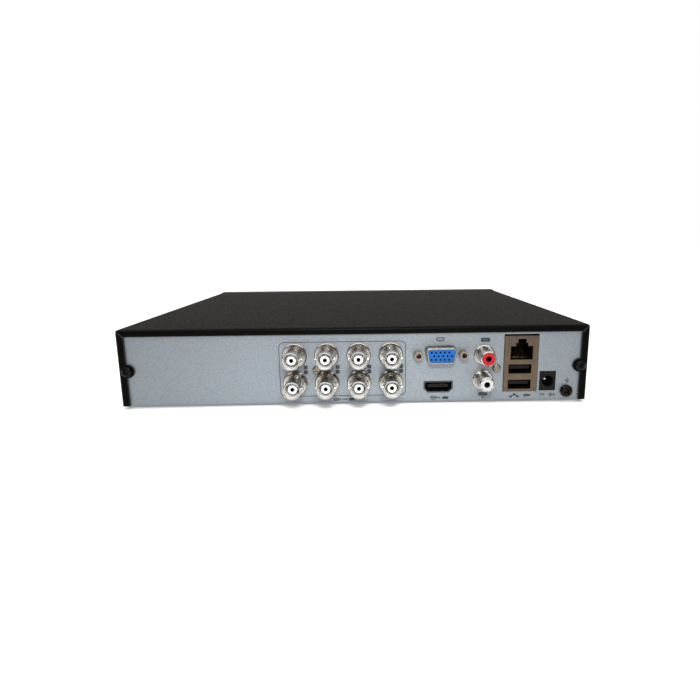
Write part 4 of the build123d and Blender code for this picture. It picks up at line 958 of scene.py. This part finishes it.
def underside_label():
    """A blank label with a ruled frame under the case."""
    under = plane((0, 0, CASE_Z), (1, 0, 0), (0, 0, -1)) @ Matrix.Scale(MM, 4)
    paper, rules = bmesh.new(), bmesh.new()
    film = (0.07, 0.1)
    prism(paper, under, rectangle(40, 20, 68, 36, 2.0), -0.02, 0.08)
    band(rules, under, rectangle(40, 20, 64, 32, 1.5), rectangle(40, 20, 63, 31, 1.2), *film)
    for line in range(3):
        prism(rules, under, rectangle(40, 12 + 8 * line, 58, 0.3), *film)
    silver = plastic("label_silver", (0.45, 0.46, 0.47), 0.35, 0.5, 900)
    piece("underside_label", paper, "white_plastic", material=silver)
    piece("underside_rules", rules, "white_plastic", material=INK)


chip_legs()
small_chips()
transformer_pins()
inductors_and_crystals()
small_parts()
silkscreen()
capacitor_sleeves()
cell_clip()
disk_trim()
front_signs()
underside_label()


# ---- Floor, light and camera ------------------------------------------------------------------------


def floor():
    """A wide pale floor that glows a little, so that it stays white."""
    half_width = 8.0
    mesh = bmesh.new()
    bmesh.ops.create_grid(mesh, x_segments=1, y_segments=1, size=half_width)
    data = bpy.data.meshes.new("floor")
    mesh.to_mesh(data)
    mesh.free()
    made = bpy.data.objects.new("floor", data)
    bpy.context.scene.collection.objects.link(made)
    glow = {"Emission_Color": (1, 1, 1, 1), "Emission_Strength": 0.2}
    data.materials.append(plastic("floor_pale", (0.92, 0.92, 0.92), 0.8, 0.9, 2, 0.0, **glow))


def area_light(name, place, target, width, height, power, spread):
    """A rectangular light aimed at target, with its power in watts and its spread in degrees."""
    data = bpy.data.lights.new(name, "AREA")
    data.shape = "RECTANGLE"
    data.size = width
    data.size_y = height
    data.energy = power
    data.spread = math.radians(spread)
    light = bpy.data.objects.new(name, data)
    light.location = place
    light.rotation_euler = (Vector(target) - Vector(place)).to_track_quat("-Z", "Y").to_euler()
    bpy.context.scene.collection.objects.link(light)


def overhead_light(strength, spread, lean):
    """A broad light straight above that leans towards the panel's side, with angles in degrees."""
    data = bpy.data.lights.new("overhead", "SUN")
    data.energy = strength
    data.angle = math.radians(spread)
    light = bpy.data.objects.new("overhead", data)
    light.rotation_euler = (math.radians(lean), 0, 0)
    bpy.context.scene.collection.objects.link(light)


def studio():
    """A white backdrop to the eye, and a dim warm room to everything that it lights."""
    world = bpy.data.worlds.new("studio")
    world.use_nodes = True
    tree = world.node_tree
    backdrop = tree.nodes["Background"]
    backdrop.inputs["Color"].default_value = (1, 1, 1, 1)
    backdrop.inputs["Strength"].default_value = 1.0
    room = tree.nodes.new("ShaderNodeBackground")
    # The room is brown in front of the panel, and paler behind the recorder and above it.
    lean = tree.nodes.new("ShaderNodeVectorMath")
    lean.operation = "DOT_PRODUCT"
    lean.inputs[1].default_value = (0, 0.35, 0.65)
    tree.links.new(tree.nodes.new("ShaderNodeTexCoord").outputs["Generated"], lean.inputs[0])
    shade = tree.nodes.new("ShaderNodeValToRGB")
    shade.color_ramp.elements[0].color = (0.075, 0.062, 0.050, 1)
    shade.color_ramp.elements[1].color = (0.50, 0.50, 0.52, 1)
    shade.color_ramp.elements[1].position = 0.75
    horizon = shade.color_ramp.elements.new(0.5)
    horizon.color = (0.38, 0.36, 0.32, 1)
    tree.links.new(lean.outputs["Value"], shade.inputs["Fac"])
    tree.links.new(shade.outputs["Color"], room.inputs["Color"])
    eye = tree.nodes.new("ShaderNodeLightPath")
    mix = tree.nodes.new("ShaderNodeMixShader")
    tree.links.new(eye.outputs["Is Camera Ray"], mix.inputs["Fac"])
    tree.links.new(room.outputs["Background"], mix.inputs[1])
    tree.links.new(backdrop.outputs["Background"], mix.inputs[2])
    tree.links.new(mix.outputs["Shader"], tree.nodes["World Output"].inputs["Surface"])
    bpy.context.scene.world = world


def camera():
    """A wide lens close to the panel, a little above it and turned slightly down."""
    data = bpy.data.cameras.new("camera")
    data.sensor_width = 36.0
    data.lens = 25.6
    data.shift_x = -0.0353
    data.shift_y = -0.0081
    data.clip_start = 0.01
    made = bpy.data.objects.new("camera", data)
    tilt, roll, turn = 78.69, 0.53, -1.35
    made.location = (0.0049, PANEL_Y - 0.2688, CASE_Z + 0.0875)
    made.rotation_euler = [math.radians(angle) for angle in (tilt, roll, turn)]
    bpy.context.scene.collection.objects.link(made)
    bpy.context.scene.camera = made


floor()
studio()
area_light(
    "flash",
    place=(0.014, PANEL_Y - 0.28, 0.20),
    target=(0.003, PANEL_Y, 0.014),
    width=0.09,
    height=0.05,
    power=0.168,
    spread=64,
)
overhead_light(3.3, spread=100, lean=4)
camera()
bpy.context.scene.view_settings.view_transform = "Standard"
